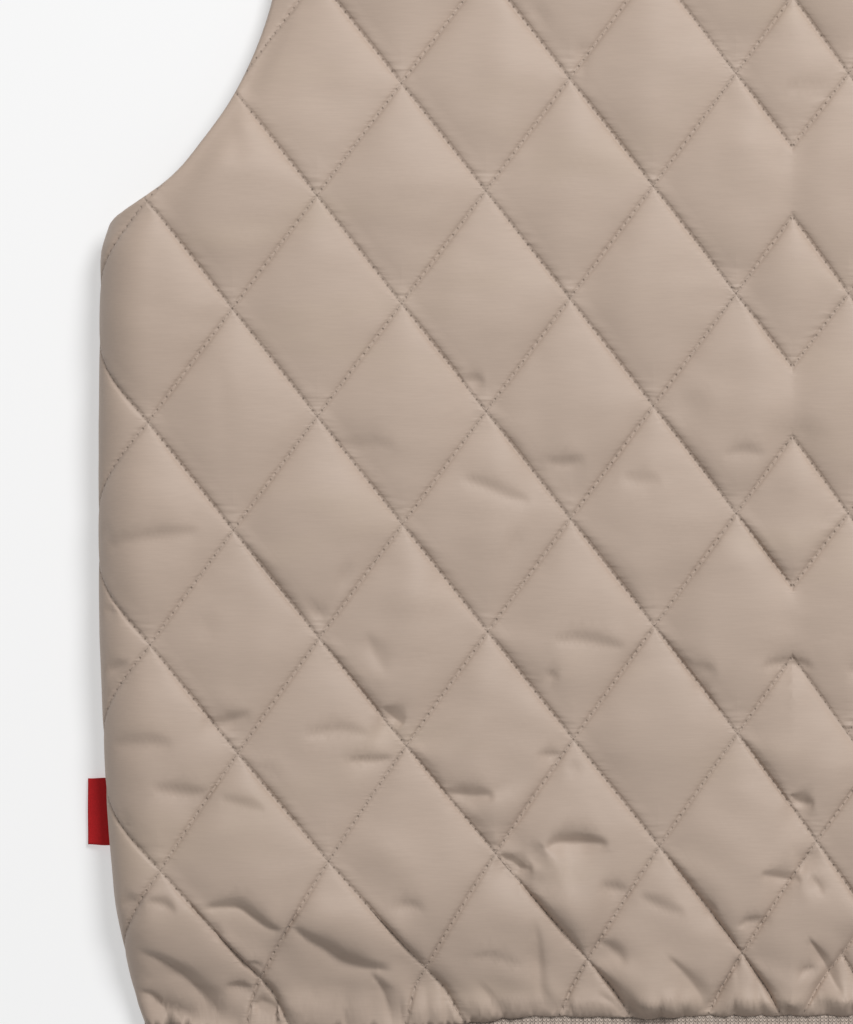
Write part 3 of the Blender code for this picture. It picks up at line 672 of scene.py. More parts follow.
def hang_over(sizes, place, arc, height, share):
    """Let the hem hang over the band, further at the sides and at the pleats' crests."""
    phase, size, _ = pleats(sizes, arc, 1.0)
    crest = size * pleat_crest(phase) * gathered(arc)
    away = np.abs(arc)
    down = read(OVERHANG, away) + sizes.scallop * crest
    reach = (1 - ease(height / HEM_TURN)) * np.clip(1 - share / 0.4, 0, 1)
    reach = reach * (1 - rise_between(HANG_FADE, away))
    place[:, 1] -= down * reach
    place[:, 2] += (sizes.hem_lift + 0.4 * sizes.scallop * crest) * reach


def padding(sizes, arc, height, taut):
    """Height of the padding over the stitch lines: a narrow dip beside each and a broad crown."""
    shape = 1.0
    sharp = between(*DIP_SHARE, 1 - rise_between(DIP_HEIGHTS, height))
    for sewn, soft in zip(seam_distances(arc, height),
                          seam_distances(arc, height, CENTRE_SOFTENING)):
        narrow = 1 - np.exp(-sewn / sizes.groove_width)
        broad = 1 - (1 - np.clip(2 * soft / LINE_SPACING, 0, 1)) ** CROWN_FULLNESS
        shape = shape * (sharp * narrow * between(1.0, TAUT_DIP, taut)
                         + (1 - sharp) * broad * between(1.0, TAUT_CROWN, taut))
    rise, fall = lattice(arc, height)
    which = np.floor(rise) * 12.9898 + np.floor(fall) * 78.233 + np.sign(arc) * 3.1
    uneven = UNEVEN * (np.modf(np.abs(np.sin(which)) * 43.7585)[0] - 0.5)
    uneven = 0.98 + uneven * ease(np.abs(arc) / UNEVEN_FADE)
    return sizes.loft * uneven * shape


def back_relief(sizes, arc, height, edge):
    """Rise of the back's outer face over its stitch lines."""
    fold = fold_at(height)
    turned = np.abs(arc) - read(SIDE_FOLD, height) + fold.out
    taut = ease(turned / quarter(fold.out, fold.up))
    puff = padding(sizes, arc, height, taut)
    fullness = puff / sizes.loft
    seam = np.minimum(*seam_distances(arc, height))
    slack = 1 - rise_between(SLACK_HEIGHTS, height)
    broad = wrinkles(arc, height, WRINKLES) + slack * wrinkles(arc, height, [HEM_WRINKLES])
    pucker = np.exp(-seam / PUCKER_REACH) * wrinkles(arc, height, PUCKERS)
    soft = (broad + pucker) * np.sqrt(np.clip(fullness, 0, 1)) * (1 - 0.6 * taut)
    stretch = (1 - ease(height / (1.3 * HEM_TURN))) * read(OVERHANG, np.abs(arc)) / HEM_TURN
    creases = crease_relief(arc, height, back_creases()) * (1 - 0.5 * taut) * (1 + 1.2 * stretch)
    fade = ease(edge / between(0.0045, 0.010, ease(height / 0.03)))
    held = 1 - np.exp(-seam / HELD_REACH)
    total = (puff + soft + creases * (0.3 + 0.7 * held)) * fade
    total += hem_gathers(sizes, arc, height) * ease(edge / 0.004)
    return np.maximum(total, DEEPEST)


def front_relief(sizes, arc, height, edge):
    """Grooves of the fronts' quilting, under crests that lie flat on the floor."""
    rise, fall = lattice_at(np.abs(arc), height)
    depth = 0.0
    for position in (rise, fall):
        away = line_distance(position)
        groove = 0.55 * np.exp(-away / 0.0014) + 0.45 * np.exp(-(away / 0.0065) ** 1.6)
        depth = np.maximum(depth, groove)
    return -sizes.front_groove * depth * ease(edge / 0.006)


# ---- Pattern pieces in the flat space ---------------------------------------------------
def line_stops(cells):
    """Places of mesh lines from one stitch line to the next, closer beside the stitches."""
    half = np.linspace(0, 1, cells // 2 + 1)
    half = 0.5 * (0.58 * half ** 2.0 + 0.42 * half)
    return np.concatenate([half, 1 - half[-2::-1]])[:-1]


def lattice_grid(cells):
    """A mesh grid whose lines follow the quilting, in the flat space."""
    stops = line_stops(cells)
    count = len(stops)
    rows = [last - first for first, last in (RISING_LINES, FALLING_LINES)]
    flat = bmesh.new()
    bmesh.ops.create_grid(flat, x_segments=rows[0] * count, y_segments=rows[1] * count, size=1)
    places = np.array([v.co[:2] for v in flat.verts])
    steps = np.rint((places + 1) / 2 * np.array(rows) * count).astype(int)
    places = np.array([RISING_LINES[0], FALLING_LINES[0]]) + steps // count + stops[steps % count]
    for vert, arc, height in zip(flat.verts, *lattice_place(*places.T)):
        vert.co = (arc, height, 0)
    return flat


def run_on_rows():
    """The stitch lines that run on over the centre back, as rows to refine the mesh along."""
    rows = []
    for first, last in RUNS_ON_LINES:
        arc, height = lattice_place(np.linspace(first[0], last[0], 30),
                                    np.linspace(first[1], last[1], 30))
        inside = runs_on(np.abs(arc), height) & (arc <= 0)
        rows.append(Crease(np.stack([-arc, height], -1)[inside] / MM, 1.5, 3.0, 0.0))
    return rows


def refine(flat, rows):
    """Halve the mesh cells beside the hem seam and along the deeper creases."""
    for level, (least, reach) in enumerate(FINE_CREASES):
        middle = np.array([((e.verts[0].co + e.verts[1].co) / 2)[:2] for e in flat.edges])
        wanted = (middle[:, 1] < FINE_HEM) & (level == 0)
        for path, width, depth, _ in rows:
            if depth >= least:
                line = crease_line(path)
                low, high = line.min(0) - 3 * width * MM, line.max(0) + 3 * width * MM
                near = np.flatnonzero(((middle > low) & (middle < high)).all(-1))
                if len(near):
                    wanted[near] |= path_distance(line, middle[near])[0] < reach * width * MM
        edges = [e for e, fine in zip(flat.edges, wanted) if fine]
        bmesh.ops.subdivide_edges(flat, edges=edges, cuts=1, use_grid_fill=True)


def drop_pinched(flat):
    """Remove corners where faces meet in a single point, and loose pieces."""
    while True:
        pinched = [v for v in flat.verts
                   if not v.link_faces or sum(e.is_boundary for e in v.link_edges) > 2]
        if not pinched:
            return
        bmesh.ops.delete(flat, geom=pinched, context="VERTS")


BACK_SNAP, FRONT_SNAP = 0.0007, 0.0009    # points this near to a panel's edge are pulled on to it
RIM_MERGE = 0.0003            # points of a panel's edge nearer to each other are merged
ON_CENTRE = 1e-7              # points nearer to the centre line lie on it
INNER_FACE = -1.0             # flat-space depth that marks the inner face


def trim(flat, path, loop, inset, snap):
    """Cut a grid to an outline and pull its edge on to the outline's inset.

    Where the outline starts at the centre line, the edge there stays as it is.
    """
    halved = path[0, 0] >= 0

    def measure(verts):
        places = np.array([v.co[:2] for v in verts])
        if halved:
            places[:, 0] = np.maximum(places[:, 0], 1e-6)
        away, nearest = path_distance(path, places)
        signed = np.where(within(loop, places), away, -away)
        return places, signed, nearest

    def pull(vert, place, signed, nearest):
        inward = (place - nearest) / signed
        goal = nearest + inward * inset
        vert.co.x = 0.0 if abs(vert.co.x) < ON_CENTRE else goal[0]
        vert.co.y = goal[1]

    verts = list(flat.verts)
    places, signed, nearest = measure(verts)
    outside = []
    for k, vert in enumerate(verts):
        if abs(signed[k] - inset) < snap and abs(signed[k]) > 1e-6:
            pull(vert, places[k], signed[k], nearest[k])
        elif signed[k] < inset:
            outside.append(vert)
    bmesh.ops.delete(flat, geom=outside, context="VERTS")
    drop_pinched(flat)
    rim = [v for v in flat.verts
           if v.is_boundary and not (halved and abs(v.co.x) <= ON_CENTRE)]
    places, signed, nearest = measure(rim)
    for k, vert in enumerate(rim):
        pull(vert, places[k], signed[k], nearest[k])
    bmesh.ops.remove_doubles(flat, verts=rim, dist=RIM_MERGE)


def close_panel(flat, path, loop, roll, mirrored, cell, turns=4):
    """Roll a panel's edge over and close it with a plain inner face."""
    bmesh.ops.triangulate(flat, faces=[f for f in flat.faces
                                       if any(v.is_boundary for v in f.verts)])
    layer = flat.verts.layers.float_vector.new("out")
    edges = [e for e in flat.edges if e.is_boundary]
    rim = [v for v in flat.verts if v.is_boundary]
    places = np.array([v.co[:2] for v in rim])
    side = np.where(places[:, 0] < 0, -1.0, 1.0) if mirrored else np.ones(len(rim))
    flip = np.stack([side, np.ones(len(rim))], -1)
    folded = places * flip
    _, nearest = path_distance(path, folded)
    out = nearest - folded
    out = out / np.linalg.norm(out, axis=1, keepdims=True) * flip
    for vert, way in zip(rim, out):
        vert[layer] = (way[0], way[1], 0)
    for turn in range(1, turns + 1):
        made = bmesh.ops.extrude_edge_only(flat, edges=edges)["geom"]
        edges = [item for item in made
                 if isinstance(item, bmesh.types.BMEdge) and item.is_boundary]
        angle = math.pi * turn / turns
        before = math.pi * (turn - 1) / turns
        for vert in {v for e in edges for v in e.verts}:
            way = vert[layer]
            vert.co.xy += way.xy * roll * (math.sin(angle) - math.sin(before))
            vert.co.z = INNER_FACE * (1 - math.cos(angle)) / 2
    inner = bmesh.ops.edgeloop_fill(flat, edges=edges)["faces"]
    low, high = loop.min(0), loop.max(0)
    if mirrored:
        low = (-high[0], low[1])
    for axis in (0, 1):
        steps = math.ceil((high[axis] - low[axis]) / cell)
        for k in range(1, steps):
            place, along = [0, 0, INNER_FACE], [0, 0, 0]
            place[axis] = low[axis] + (high[axis] - low[axis]) * k / steps
            along[axis] = 1
            near = {e for f in inner for e in f.edges}
            cut = bmesh.ops.bisect_plane(
                flat, geom=inner + list(near) + list({v for e in near for v in e.verts}),
                dist=1e-7, plane_co=place, plane_no=along)["geom"]
            inner = [item for item in cut if isinstance(item, bmesh.types.BMFace)]
    if any(e.is_boundary for e in flat.edges):
        raise RuntimeError("a panel's inner face is open")
    bmesh.ops.triangulate(flat, faces=[f for f in flat.faces if len(f.verts) > 4])
    bmesh.ops.recalc_face_normals(flat, faces=flat.faces[:])


def everything(flat):
    return flat.verts[:] + flat.edges[:] + flat.faces[:]


def new_object(context, name, data):
    """An object in the scene."""
    made = bpy.data.objects.new(name, data)
    context.scene.collection.objects.link(made)
    return made


def new_piece(context, name, flat):
    """An object from a bmesh, which is freed."""
    data = bpy.data.meshes.new(name)
    flat.to_mesh(data)
    flat.free()
    for layer in list(data.attributes):
        if layer.name == "out":
            data.attributes.remove(layer)
    return new_object(context, name, data)


def flat_places(piece):
    """A mesh's points, as one array."""
    places = np.empty(len(piece.data.vertices) * 3, np.float32)
    piece.data.vertices.foreach_get("co", places)
    return places.reshape(-1, 3).astype(float)


def lay(piece, places):
    """Give the mesh its final places, with outward normals and smooth shading."""
    piece.data.vertices.foreach_set("co", places.astype(np.float32).ravel())
    mesh = bmesh.new()
    mesh.from_mesh(piece.data)
    bmesh.ops.recalc_face_normals(mesh, faces=mesh.faces[:])
    mesh.to_mesh(piece.data)
    mesh.free()
    piece.data.shade_smooth()
    piece.data.update()


def corner_verts(piece):
    """The vertex at each corner of each face."""
    corners = np.empty(len(piece.data.loops), np.int32)
    piece.data.loops.foreach_get("vertex_index", corners)
    return corners


def add_map(piece, name, per_corner):
    """A UV map from two values for each face corner."""
    layer = piece.data.uv_layers.new(name=name)
    layer.data.foreach_set("uv", per_corner.astype(np.float32).ravel())


def quilt_map(piece, arc, height):
    """The quilting's two coordinates, with each face wholly on one side of a stitch line."""
    corners = corner_verts(piece)
    starts = np.empty(len(piece.data.polygons), np.int32)
    piece.data.polygons.foreach_get("loop_start", starts)
    sides = np.diff(np.append(starts, len(corners)))
    middle = [np.add.reduceat(part[corners], starts) / sides for part in (arc, height)]
    over = np.repeat(runs_on(np.abs(middle[0]), middle[1]), sides)
    add_map(piece, "quilt", np.stack(lattice(arc[corners], height[corners], over=over), -1))


# ---- Shader maths -----------------------------------------------------------------------
class Signal:
    """A material's socket, on which arithmetic adds Math nodes."""

    def __init__(self, finish, socket):
        self.finish, self.socket = finish, socket

    def _math(self, operation, first, second):
        return self.finish.node("ShaderNodeMath", {"operation": operation}, {0: first, 1: second})

    def __add__(self, other):
        return self._math("ADD", self, other)

    def __sub__(self, other):
        return self._math("SUBTRACT", self, other)

    def __rsub__(self, other):
        return self._math("SUBTRACT", other, self)

    def __mul__(self, other):
        return self._math("MULTIPLY", self, other)

    def __pow__(self, other):
        return self._math("POWER", self, other)

    def __rpow__(self, other):
        return self._math("POWER", other, self)

    __radd__, __rmul__ = __add__, __mul__


class Finish:
    """One node material, with the few node groups that the vest's finishes share."""

    def __init__(self, name, roughness, shader):
        self.material = bpy.data.materials.new(name)
        self.material.use_nodes = True
        self.tree = self.material.node_tree
        self.shader = self.tree.nodes["Principled BSDF"]
        self.shader.inputs["Roughness"].default_value = roughness
        for socket, value in shader.items():
            self.shader.inputs[socket].default_value = value

    def node(self, kind, settings, values, output=0):
        """Add a node: its settings first, then the values or links of its sockets."""
        made = self.tree.nodes.new(kind)
        for name, value in settings.items():
            if name == "stops":
                ramp = made.color_ramp
                while len(ramp.elements) < len(value):
                    ramp.elements.new(0.5)
                for stop, (place, colour) in zip(ramp.elements, value):
                    stop.position, stop.color = place, colour
            else:
                setattr(made, name, value)
        for name, value in values.items():
            if isinstance(value, Signal):
                self.tree.links.new(value.socket, made.inputs[name])
            else:
                made.inputs[name].default_value = value
        return Signal(self, made.outputs[output])

    def feed(self, name, signal):
        self.tree.links.new(signal.socket, self.shader.inputs[name])

    def object_place(self, scale=(1, 1, 1)):
        place = self.node("ShaderNodeTexCoord", {}, {}, "Object")
        return self.node("ShaderNodeMapping", {}, {"Vector": place, "Scale": scale})

    def own_map(self, name):
        """The two values of one of the piece's own UV maps."""
        place = self.node("ShaderNodeUVMap", {"uv_map": name}, {})
        parts = self.tree.nodes.new("ShaderNodeSeparateXYZ")
        self.tree.links.new(place.socket, parts.inputs[0])
        return Signal(self, parts.outputs[0]), Signal(self, parts.outputs[1])

    def fade(self, value, start, end, low=0.0, high=1.0):
        """Smooth change from low at start to high at end."""
        return self.node("ShaderNodeMapRange", {"interpolation_type": "SMOOTHSTEP"},
                         {"Value": value, "From Min": start, "From Max": end,
                          "To Min": low, "To Max": high})

    def noise(self, place, scale, detail=2.0, roughness=0.5):
        return self.node("ShaderNodeTexNoise", {}, {"Vector": place, "Scale": scale,
                                                     "Detail": detail, "Roughness": roughness})

    def mix(self, share, first, second):
        """Mix two colours."""
        return self.node("ShaderNodeMix", {"data_type": "RGBA"},
                         {0: share, 6: first, 7: second}, 2)

    def pick(self, operation, first, second):
        """The larger or the smaller of two values."""
        return self.node("ShaderNodeMath", {"operation": operation}, {0: first, 1: second})

    def saw(self, value):
        """Distance to the nearest whole number."""
        return self.node("ShaderNodeMath", {"operation": "PINGPONG"}, {0: value, 1: 0.5})

    def part(self, value):
        """Share of the way from one whole number to the next."""
        return self.node("ShaderNodeMath", {"operation": "FRACT"}, {0: value})

    def bump(self, height, distance, strength=1.0, under=None):
        values = {"Height": height, "Distance": distance, "Strength": strength}
        if under:
            values["Normal"] = under
        return self.node("ShaderNodeBump", {}, values)


def shade(colour, factor):
    """A colour made lighter or darker."""
    return tuple(min(1.0, part * factor) for part in colour[:3]) + (1.0,)


def fabric_finish(name, sizes, colours):
    """Smooth woven cloth with sunk stitch lines, needle holes and a faint sheen; stitch lines and
    needle holes carry painted shade.
    """
    cloth = Finish(name, 0.56, {"Sheen Weight": 0.12, "Sheen Roughness": 0.45,
                                "Specular IOR Level": 0.38})
    rise, fall = cloth.own_map("quilt")
    per_line = round(LINE_LENGTH / sizes.stitch_pitch)
    spacing = LINE_SPACING / MM
    groove, hole = None, None
    for across, along in ((rise, fall), (fall, rise)):
        away = cloth.saw(across) * spacing
        line = cloth.fade(away, 0.0, 1.3, 1.0, 0.0)
        dot = cloth.fade(away, 0.15, 0.52, 1.0, 0.0) * cloth.fade(
            cloth.saw(along * per_line), 0.04, 0.17, 1.0, 0.0)
        groove = line if groove is None else cloth.pick("MAXIMUM", groove, line)
        hole = dot if hole is None else cloth.pick("MAXIMUM", hole, dot)
    mottle = cloth.noise(cloth.object_place(), 16.0, 3.0)
    threads = cloth.noise(cloth.object_place((120, 1900, 400)), 1.0, 1.0)
    patch = cloth.noise(cloth.object_place((14, 40, 14)), 1.0, 2.0)
    base = cloth.mix(mottle, shade(colours.fabric, 0.955), shade(colours.fabric, 1.045))
    base = cloth.mix(cloth.fade(threads, 0.35, 0.65, 0.0, 0.28), base, shade(colours.fabric, 0.90))
    base = cloth.mix(cloth.fade(patch, 0.52, 0.75, 0.0, 0.25), base, colours.fabric_warm)
    # Painted shade: the stitch lines are darkened towards the groove colour, standing in for the
    # shade in their dip.
    base = cloth.mix(groove * 0.08, base, colours.groove)
    # Painted shade: the needle holes are darkened, unevenly, towards a dark brown, standing in for
    # the shade inside them.
    uneven = cloth.fade(cloth.noise(cloth.object_place((260, 260, 260)), 1.0, 1.0),
                        0.3, 0.6, 0.15, 0.62)
    base = cloth.mix(hole * uneven, base, colours.needle_hole_shade)
    cloth.feed("Base Color", base)
    cloth.feed("Roughness", 0.52 + mottle * 0.10)
    weave = cloth.bump(threads, 0.00006, 0.42)
    crumple = cloth.noise(cloth.object_place((90, 230, 90)), 1.0, 2.5)
    nearest = cloth.pick("MINIMUM", cloth.saw(rise), cloth.saw(fall))
    beside = cloth.fade(nearest * spacing, 0.3, 5.0, 1.0, 0.0)
    ruck = cloth.bump(crumple * (beside * 0.65 + 0.35), 0.00026, 0.6, weave)
    fine = cloth.noise(cloth.object_place((150, 560, 150)), 1.0, 1.5)
    tuck = cloth.bump(cloth.fade(fine, 0.42, 0.62) * beside ** 2.0, 0.00014, 0.7, ruck)
    over = cloth.part(fall) * spacing
    corner = cloth.pick("MAXIMUM", over, cloth.part(rise) * spacing)
    gathers = cloth.fade(over, 0.0, 6.5, 0.5, 0.0) + cloth.fade(corner, 1.0, 11.0, 0.5, 0.0)
    ripple = cloth.noise(cloth.object_place((70, 330, 70)), 1.0, 1.0)
    stack = cloth.bump(ripple * gathers, 0.00160, 0.8, tuck)
    sunk = cloth.bump(groove, -0.00030, 0.8, stack)
    cloth.feed("Normal", cloth.bump(hole, -0.0002, 0.8, sunk))
    return cloth.material


def thread_finish(colours):
    """Twisted sewing thread."""
    thread = Finish("thread", 0.6, {"Specular IOR Level": 0.4})
    fibres = thread.noise(thread.object_place((900, 900, 900)), 1.0, 2.0)
    thread.feed("Base Color", thread.mix(fibres, shade(colours.thread, 0.8), colours.thread))
    thread.feed("Normal", thread.bump(fibres, 0.00008, 0.6))
    return thread.material


def knit_finish(colours):
    """Rib knit: stitches as V shapes in columns, with painted shade between them and flecks of
    grey.
    """
    knit = Finish("rib_knit", 0.9, {"Sheen Weight": 0.25, "Sheen Roughness": 0.6,
                                    "Specular IOR Level": 0.2})
    along, up = knit.own_map("knit")
    wale = knit.saw(along * (1 / 1.6))
    course = knit.saw(up * (1 / 1.3) + wale * 1.1)
    stitch = knit.fade(wale, 0.0, 0.22) * knit.fade(course, 0.04, 0.34)
    flecks = knit.noise(knit.object_place((1000, 1000, 1000)), 1.0, 3.0, 0.7)
    worn = knit.noise(knit.object_place(), 30.0)
    base = knit.mix(flecks, colours.rib, shade(colours.rib, 1.22))
    base = knit.mix(knit.fade(flecks, 0.5, 0.75, 0.0, 0.6), base, colours.rib_fleck)
    # Painted shade: the knit is darkened to half between its stitches, standing in for the shade
    # between the loops.
    base = knit.mix(stitch * 0.6 + 0.4, shade(colours.rib, 0.5), base)
    base = knit.mix(worn * 0.16, base, shade(colours.rib, 0.7))
    knit.feed("Base Color", base)
    loops = knit.bump(stitch, 0.00055, 0.9)
    knit.feed("Normal", knit.bump(flecks, 0.0002, 0.5, loops))
    return knit.material


def label_finish(colours):
    """Plain woven tape, with painted shade between its threads."""
    tape = Finish("woven_label", 0.7, {"Sheen Weight": 0.05, "Sheen Roughness": 0.5,
                                       "Specular IOR Level": 0.15})
    across, along = tape.own_map("tape")
    rows = tape.saw(along * (1 / 0.42))
    cords = tape.saw(across * (1 / 0.36))
    weave = tape.fade(rows, 0.05, 0.45) * tape.fade(cords, 0.0, 0.35, 0.55, 1.0)
    fuzz = tape.noise(tape.object_place((1500, 1500, 1500)), 1.0, 2.0)
    base = tape.mix(fuzz, shade(colours.label, 0.8), shade(colours.label, 1.15))
    # Painted shade: the tape is darkened to half between its woven rows and cords, standing in for
    # the shade between the threads.
    base = tape.mix(weave * 0.4 + 0.6, shade(colours.label, 0.5), base)
    tape.feed("Base Color", base)
    ribs = tape.bump(weave, 0.00012, 0.8)
    tape.feed("Normal", tape.bump(fuzz, 0.00008, 0.4, ribs))
    return tape.material


# ---- Sizes and colours that a user would change -----------------------------------------
def length(name, description, default, low=0.0, high=0.1):
    return bpy.props.FloatProperty(name=name, description=description, default=default,
                                   min=low, max=high, unit="LENGTH", precision=5)


def colour(name, description, default):
    return bpy.props.FloatVectorProperty(name=name, description=description, size=4,
                                         default=(*default, 1.0), min=0, max=1, subtype="COLOR")


class VestSizes(bpy.types.PropertyGroup):
    """Sizes of the quilting, the thread and the rib."""
    loft: length("Loft", "Rise of a diamond's crown over its stitch lines", 0.0047)
    groove_width: length("Groove", "Width over which cloth dips to a stitch line", 0.0012)
    front_groove: length("Front groove", "Depth of the fronts' stitch lines", 0.0016)
    back_cells: bpy.props.IntProperty(
        name="Back cells", description="Mesh cells along a diamond's side on the back",
        default=24, min=4, max=40)
    front_cells: bpy.props.IntProperty(
        name="Front cells", description="Mesh cells along a diamond's side on the fronts",
        default=16, min=4, max=40)
    inner_cell: length("Inner cell", "Mesh size of the plain inner faces", 0.009)
    gathers: bpy.props.IntProperty(
        name="Gathers", description="Pleats of the back along the hem seam", default=46, min=1)
    stitch_pitch: length("Stitch pitch", "Distance between needle holes", 0.0030)
    stitch_length: length("Stitch length", "Thread that shows between two holes", 0.0020)
    thread_width: length("Thread width", "Width of the sewing thread", 0.00036)
    thread_rise: length("Thread rise", "Height of a stitch over the cloth", 0.00014)
    rib_pitch: length("Rib pitch", "Distance between two ribs of the band", 0.0040)
    rib_depth: length("Rib depth", "Depth of the furrow between two ribs", 0.0007)
    edge_roll: length("Edge roll", "Radius of the panels' turned edges", 0.0016)
    band_tuck: length("Band tuck", "How far the band goes up under the back's hem", 0.0022)
    scallop: length("Scallop", "How far the pleats' crests hang further over the band", 0.0013)
    hem_lift: length("Hem lift", "How far the hem's edge is raised on to the band", 0.0013)


class VestColours(bpy.types.PropertyGroup):
    """Colours of the vest and of the floor."""
    fabric: colour("Fabric", "The quilted cloth", (0.462, 0.360, 0.291))
    fabric_warm: colour("Warm patches", "Faint warmer patches of the cloth", (0.470, 0.372, 0.285))
    # Painted shade: the groove colour is mixed into the stitch lines for the shade in their dip.
    groove: colour("Groove", "The cloth in a stitch line", (0.270, 0.200, 0.155))
    # Painted shade: the dark brown that stands in for the shade inside a needle hole.
    needle_hole_shade: colour("Needle hole", "The dark of a needle hole", (0.130, 0.092, 0.070))
    thread: colour("Thread", "The quilting thread", (0.500, 0.400, 0.330))
    rib: colour("Rib", "The band's knit", (0.560, 0.458, 0.385))
    rib_fleck: colour("Rib flecks", "Grey flecks in the band's knit", (0.390, 0.345, 0.310))
    label: colour("Label", "The woven side label", (0.660, 0.021, 0.025))
    floor: colour("Floor", "The pale floor", (0.470, 0.470, 0.470))


def dress(piece, material, node=None):
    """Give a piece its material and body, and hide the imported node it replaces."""
    piece.data.materials.clear()
    piece.data.materials.append(material)
    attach(piece, "root")
    if node:
        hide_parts(node)


# ---- Pieces -----------------------------------------------------------------------------
class VEST_OT_back(bpy.types.Operator):
    """Quilted back, with its creases and the gathers along its hem"""
    bl_idname = "vest.back"
    bl_label = "Back"

    def execute(self, context):
        sizes, colours = context.scene.vest_sizes, context.scene.vest_colours
        path = back_edge()
        flat = lattice_grid(sizes.back_cells)
        bmesh.ops.bisect_plane(flat, geom=everything(flat), plane_co=(0, 0, 0),
                               plane_no=(1, 0, 0), clear_inner=True)
        trim(flat, path, path, sizes.edge_roll, BACK_SNAP)
        bmesh.ops.mirror(flat, geom=everything(flat), matrix=Matrix.Identity(4),
                         merge_dist=1e-6, axis="X")
        refine(flat, back_creases() + run_on_rows())
        bmesh.ops.recalc_face_normals(flat, faces=flat.faces[:])
        close_panel(flat, path, path, sizes.edge_roll, True, sizes.inner_cell)
        piece = new_piece(context, "quilted_back", flat)
        place = flat_places(piece)
        arc, height, depth = place.T
        edge, _ = path_distance(path, np.stack([np.abs(arc), height], -1))
        share = -depth
        depth = depth * fold_at(height).wall
        face = depth > -1e-9
        depth[face] = back_relief(sizes, arc[face], height[face], edge[face] - sizes.edge_roll)
        quilt_map(piece, arc, height)
        place = back_surface(arc, height) + outward(back_surface, arc, height, 1) * depth[:, None]
        hang_over(sizes, place, arc, height, share)
        lay(piece, place)
        dress(piece, fabric_finish("quilted_fabric", sizes, colours), "back")
        return {"FINISHED"}


STITCH_MARGIN = 0.0015        # no stitch lies nearer to the panel's turned edge
CENTRE_MARGIN = 0.0008        # nor nearer to the centre back


def stitch_places(sizes, path):
    """Both holes of every stitch of the back, in the flat space."""
    per_line = round(LINE_LENGTH / sizes.stitch_pitch)
    share = sizes.stitch_length / sizes.stitch_pitch
    along = np.arange(STITCH_LINES.start * per_line, STITCH_LINES.stop * per_line)
    ends = []
    for line in STITCH_LINES:
        first = (along + (1 - share) / 2) / per_line
        last = first + share / per_line
        fixed = np.full(len(along), float(line))
        ends.append(np.stack([lattice_place(fixed, first), lattice_place(fixed, last)]))
        ends.append(np.stack([lattice_place(first, fixed), lattice_place(last, fixed)]))
    ends = np.concatenate(ends, -1).transpose(2, 0, 1)
    margin = sizes.edge_roll + STITCH_MARGIN
    keep = np.ones(len(ends), bool)
    for k in (0, 1):
        place = np.stack([np.abs(ends[:, k, 0]), ends[:, k, 1]], -1)
        keep &= within(path, place) & (path_distance(path, place)[0] > margin)
    ends = ends[keep]
    arc, height = ends.mean(1).T
    over = runs_on(np.abs(arc), height)
    right, left = arc > CENTRE_MARGIN, arc < -CENTRE_MARGIN
    return np.concatenate([ends[right] * (-1, 1), ends[right & ~over],
                           ends[left & over] * (-1, 1)])


def stitch_mesh(context, name, sizes, ends):
    """One short three-sided thread for every stitch, joined, in the flat space."""
    proto = bmesh.new()
    bmesh.ops.create_cone(proto, cap_ends=True, cap_tris=True, segments=3, radius1=0.5,
                          radius2=0.5, depth=1.0)
    bmesh.ops.bisect_plane(proto, geom=everything(proto), plane_co=(0, 0, 0),
                           plane_no=(0, 0, 1))
    bmesh.ops.triangulate(proto, faces=proto.faces[:])
    bmesh.ops.recalc_face_normals(proto, faces=proto.faces[:])
    shape = np.array([v.co[:] for v in proto.verts])
    faces = np.array([[v.index for v in f.verts] for f in proto.faces])
    proto.free()
    count = len(ends)
    run = ends[:, 1] - ends[:, 0]
    across = np.stack([-run[:, 1], run[:, 0]], -1) / np.linalg.norm(run, axis=1, keepdims=True)
    share = shape[:, 2] + 0.5
    flat = ends[:, :1] + run[:, None] * share[None, :, None]
    flat = flat + across[:, None] * (shape[:, 0] * sizes.thread_width)[None, :, None]
    bow = np.where(np.abs(shape[:, 2]) < 0.1, 1.0, 0.25)
    lift = np.tile((shape[:, 1] + 0.35) * sizes.thread_rise * bow
                   + np.where(bow < 1, -0.00006, 0.00006), (count, 1))
    data = bpy.data.meshes.new(name)
    verts = np.concatenate([flat, lift[..., None]], -1).reshape(-1, 3)
    data.from_pydata(verts, [], (faces[None] + np.arange(count)[:, None, None] * len(shape))
                     .reshape(-1, 3))
    return new_object(context, name, data)


class VEST_OT_stitches(bpy.types.Operator):
    """Sewing thread along the quilting lines of the back"""
    bl_idname = "vest.stitches"
    bl_label = "Stitches"

    def execute(self, context):
        sizes, colours = context.scene.vest_sizes, context.scene.vest_colours
        thread = thread_finish(colours)
        path = back_edge()
        ends = stitch_places(sizes, path)
        piece = stitch_mesh(context, "back_stitches", sizes, ends)
        arc, height, lift = flat_places(piece).T
        middle = np.repeat(ends.mean(1), len(arc) // len(ends), 0)
        edge, _ = path_distance(path, np.abs(middle))
        ground = back_relief(sizes, middle[:, 0], middle[:, 1], edge - sizes.edge_roll)
        place = back_surface(arc, height)
        place += outward(back_surface, arc, height, 1) * (ground + lift)[:, None]
        hang_over(sizes, place, arc, height, 0.0)
        lay(piece, place)
        dress(piece, thread)
        return {"FINISHED"}


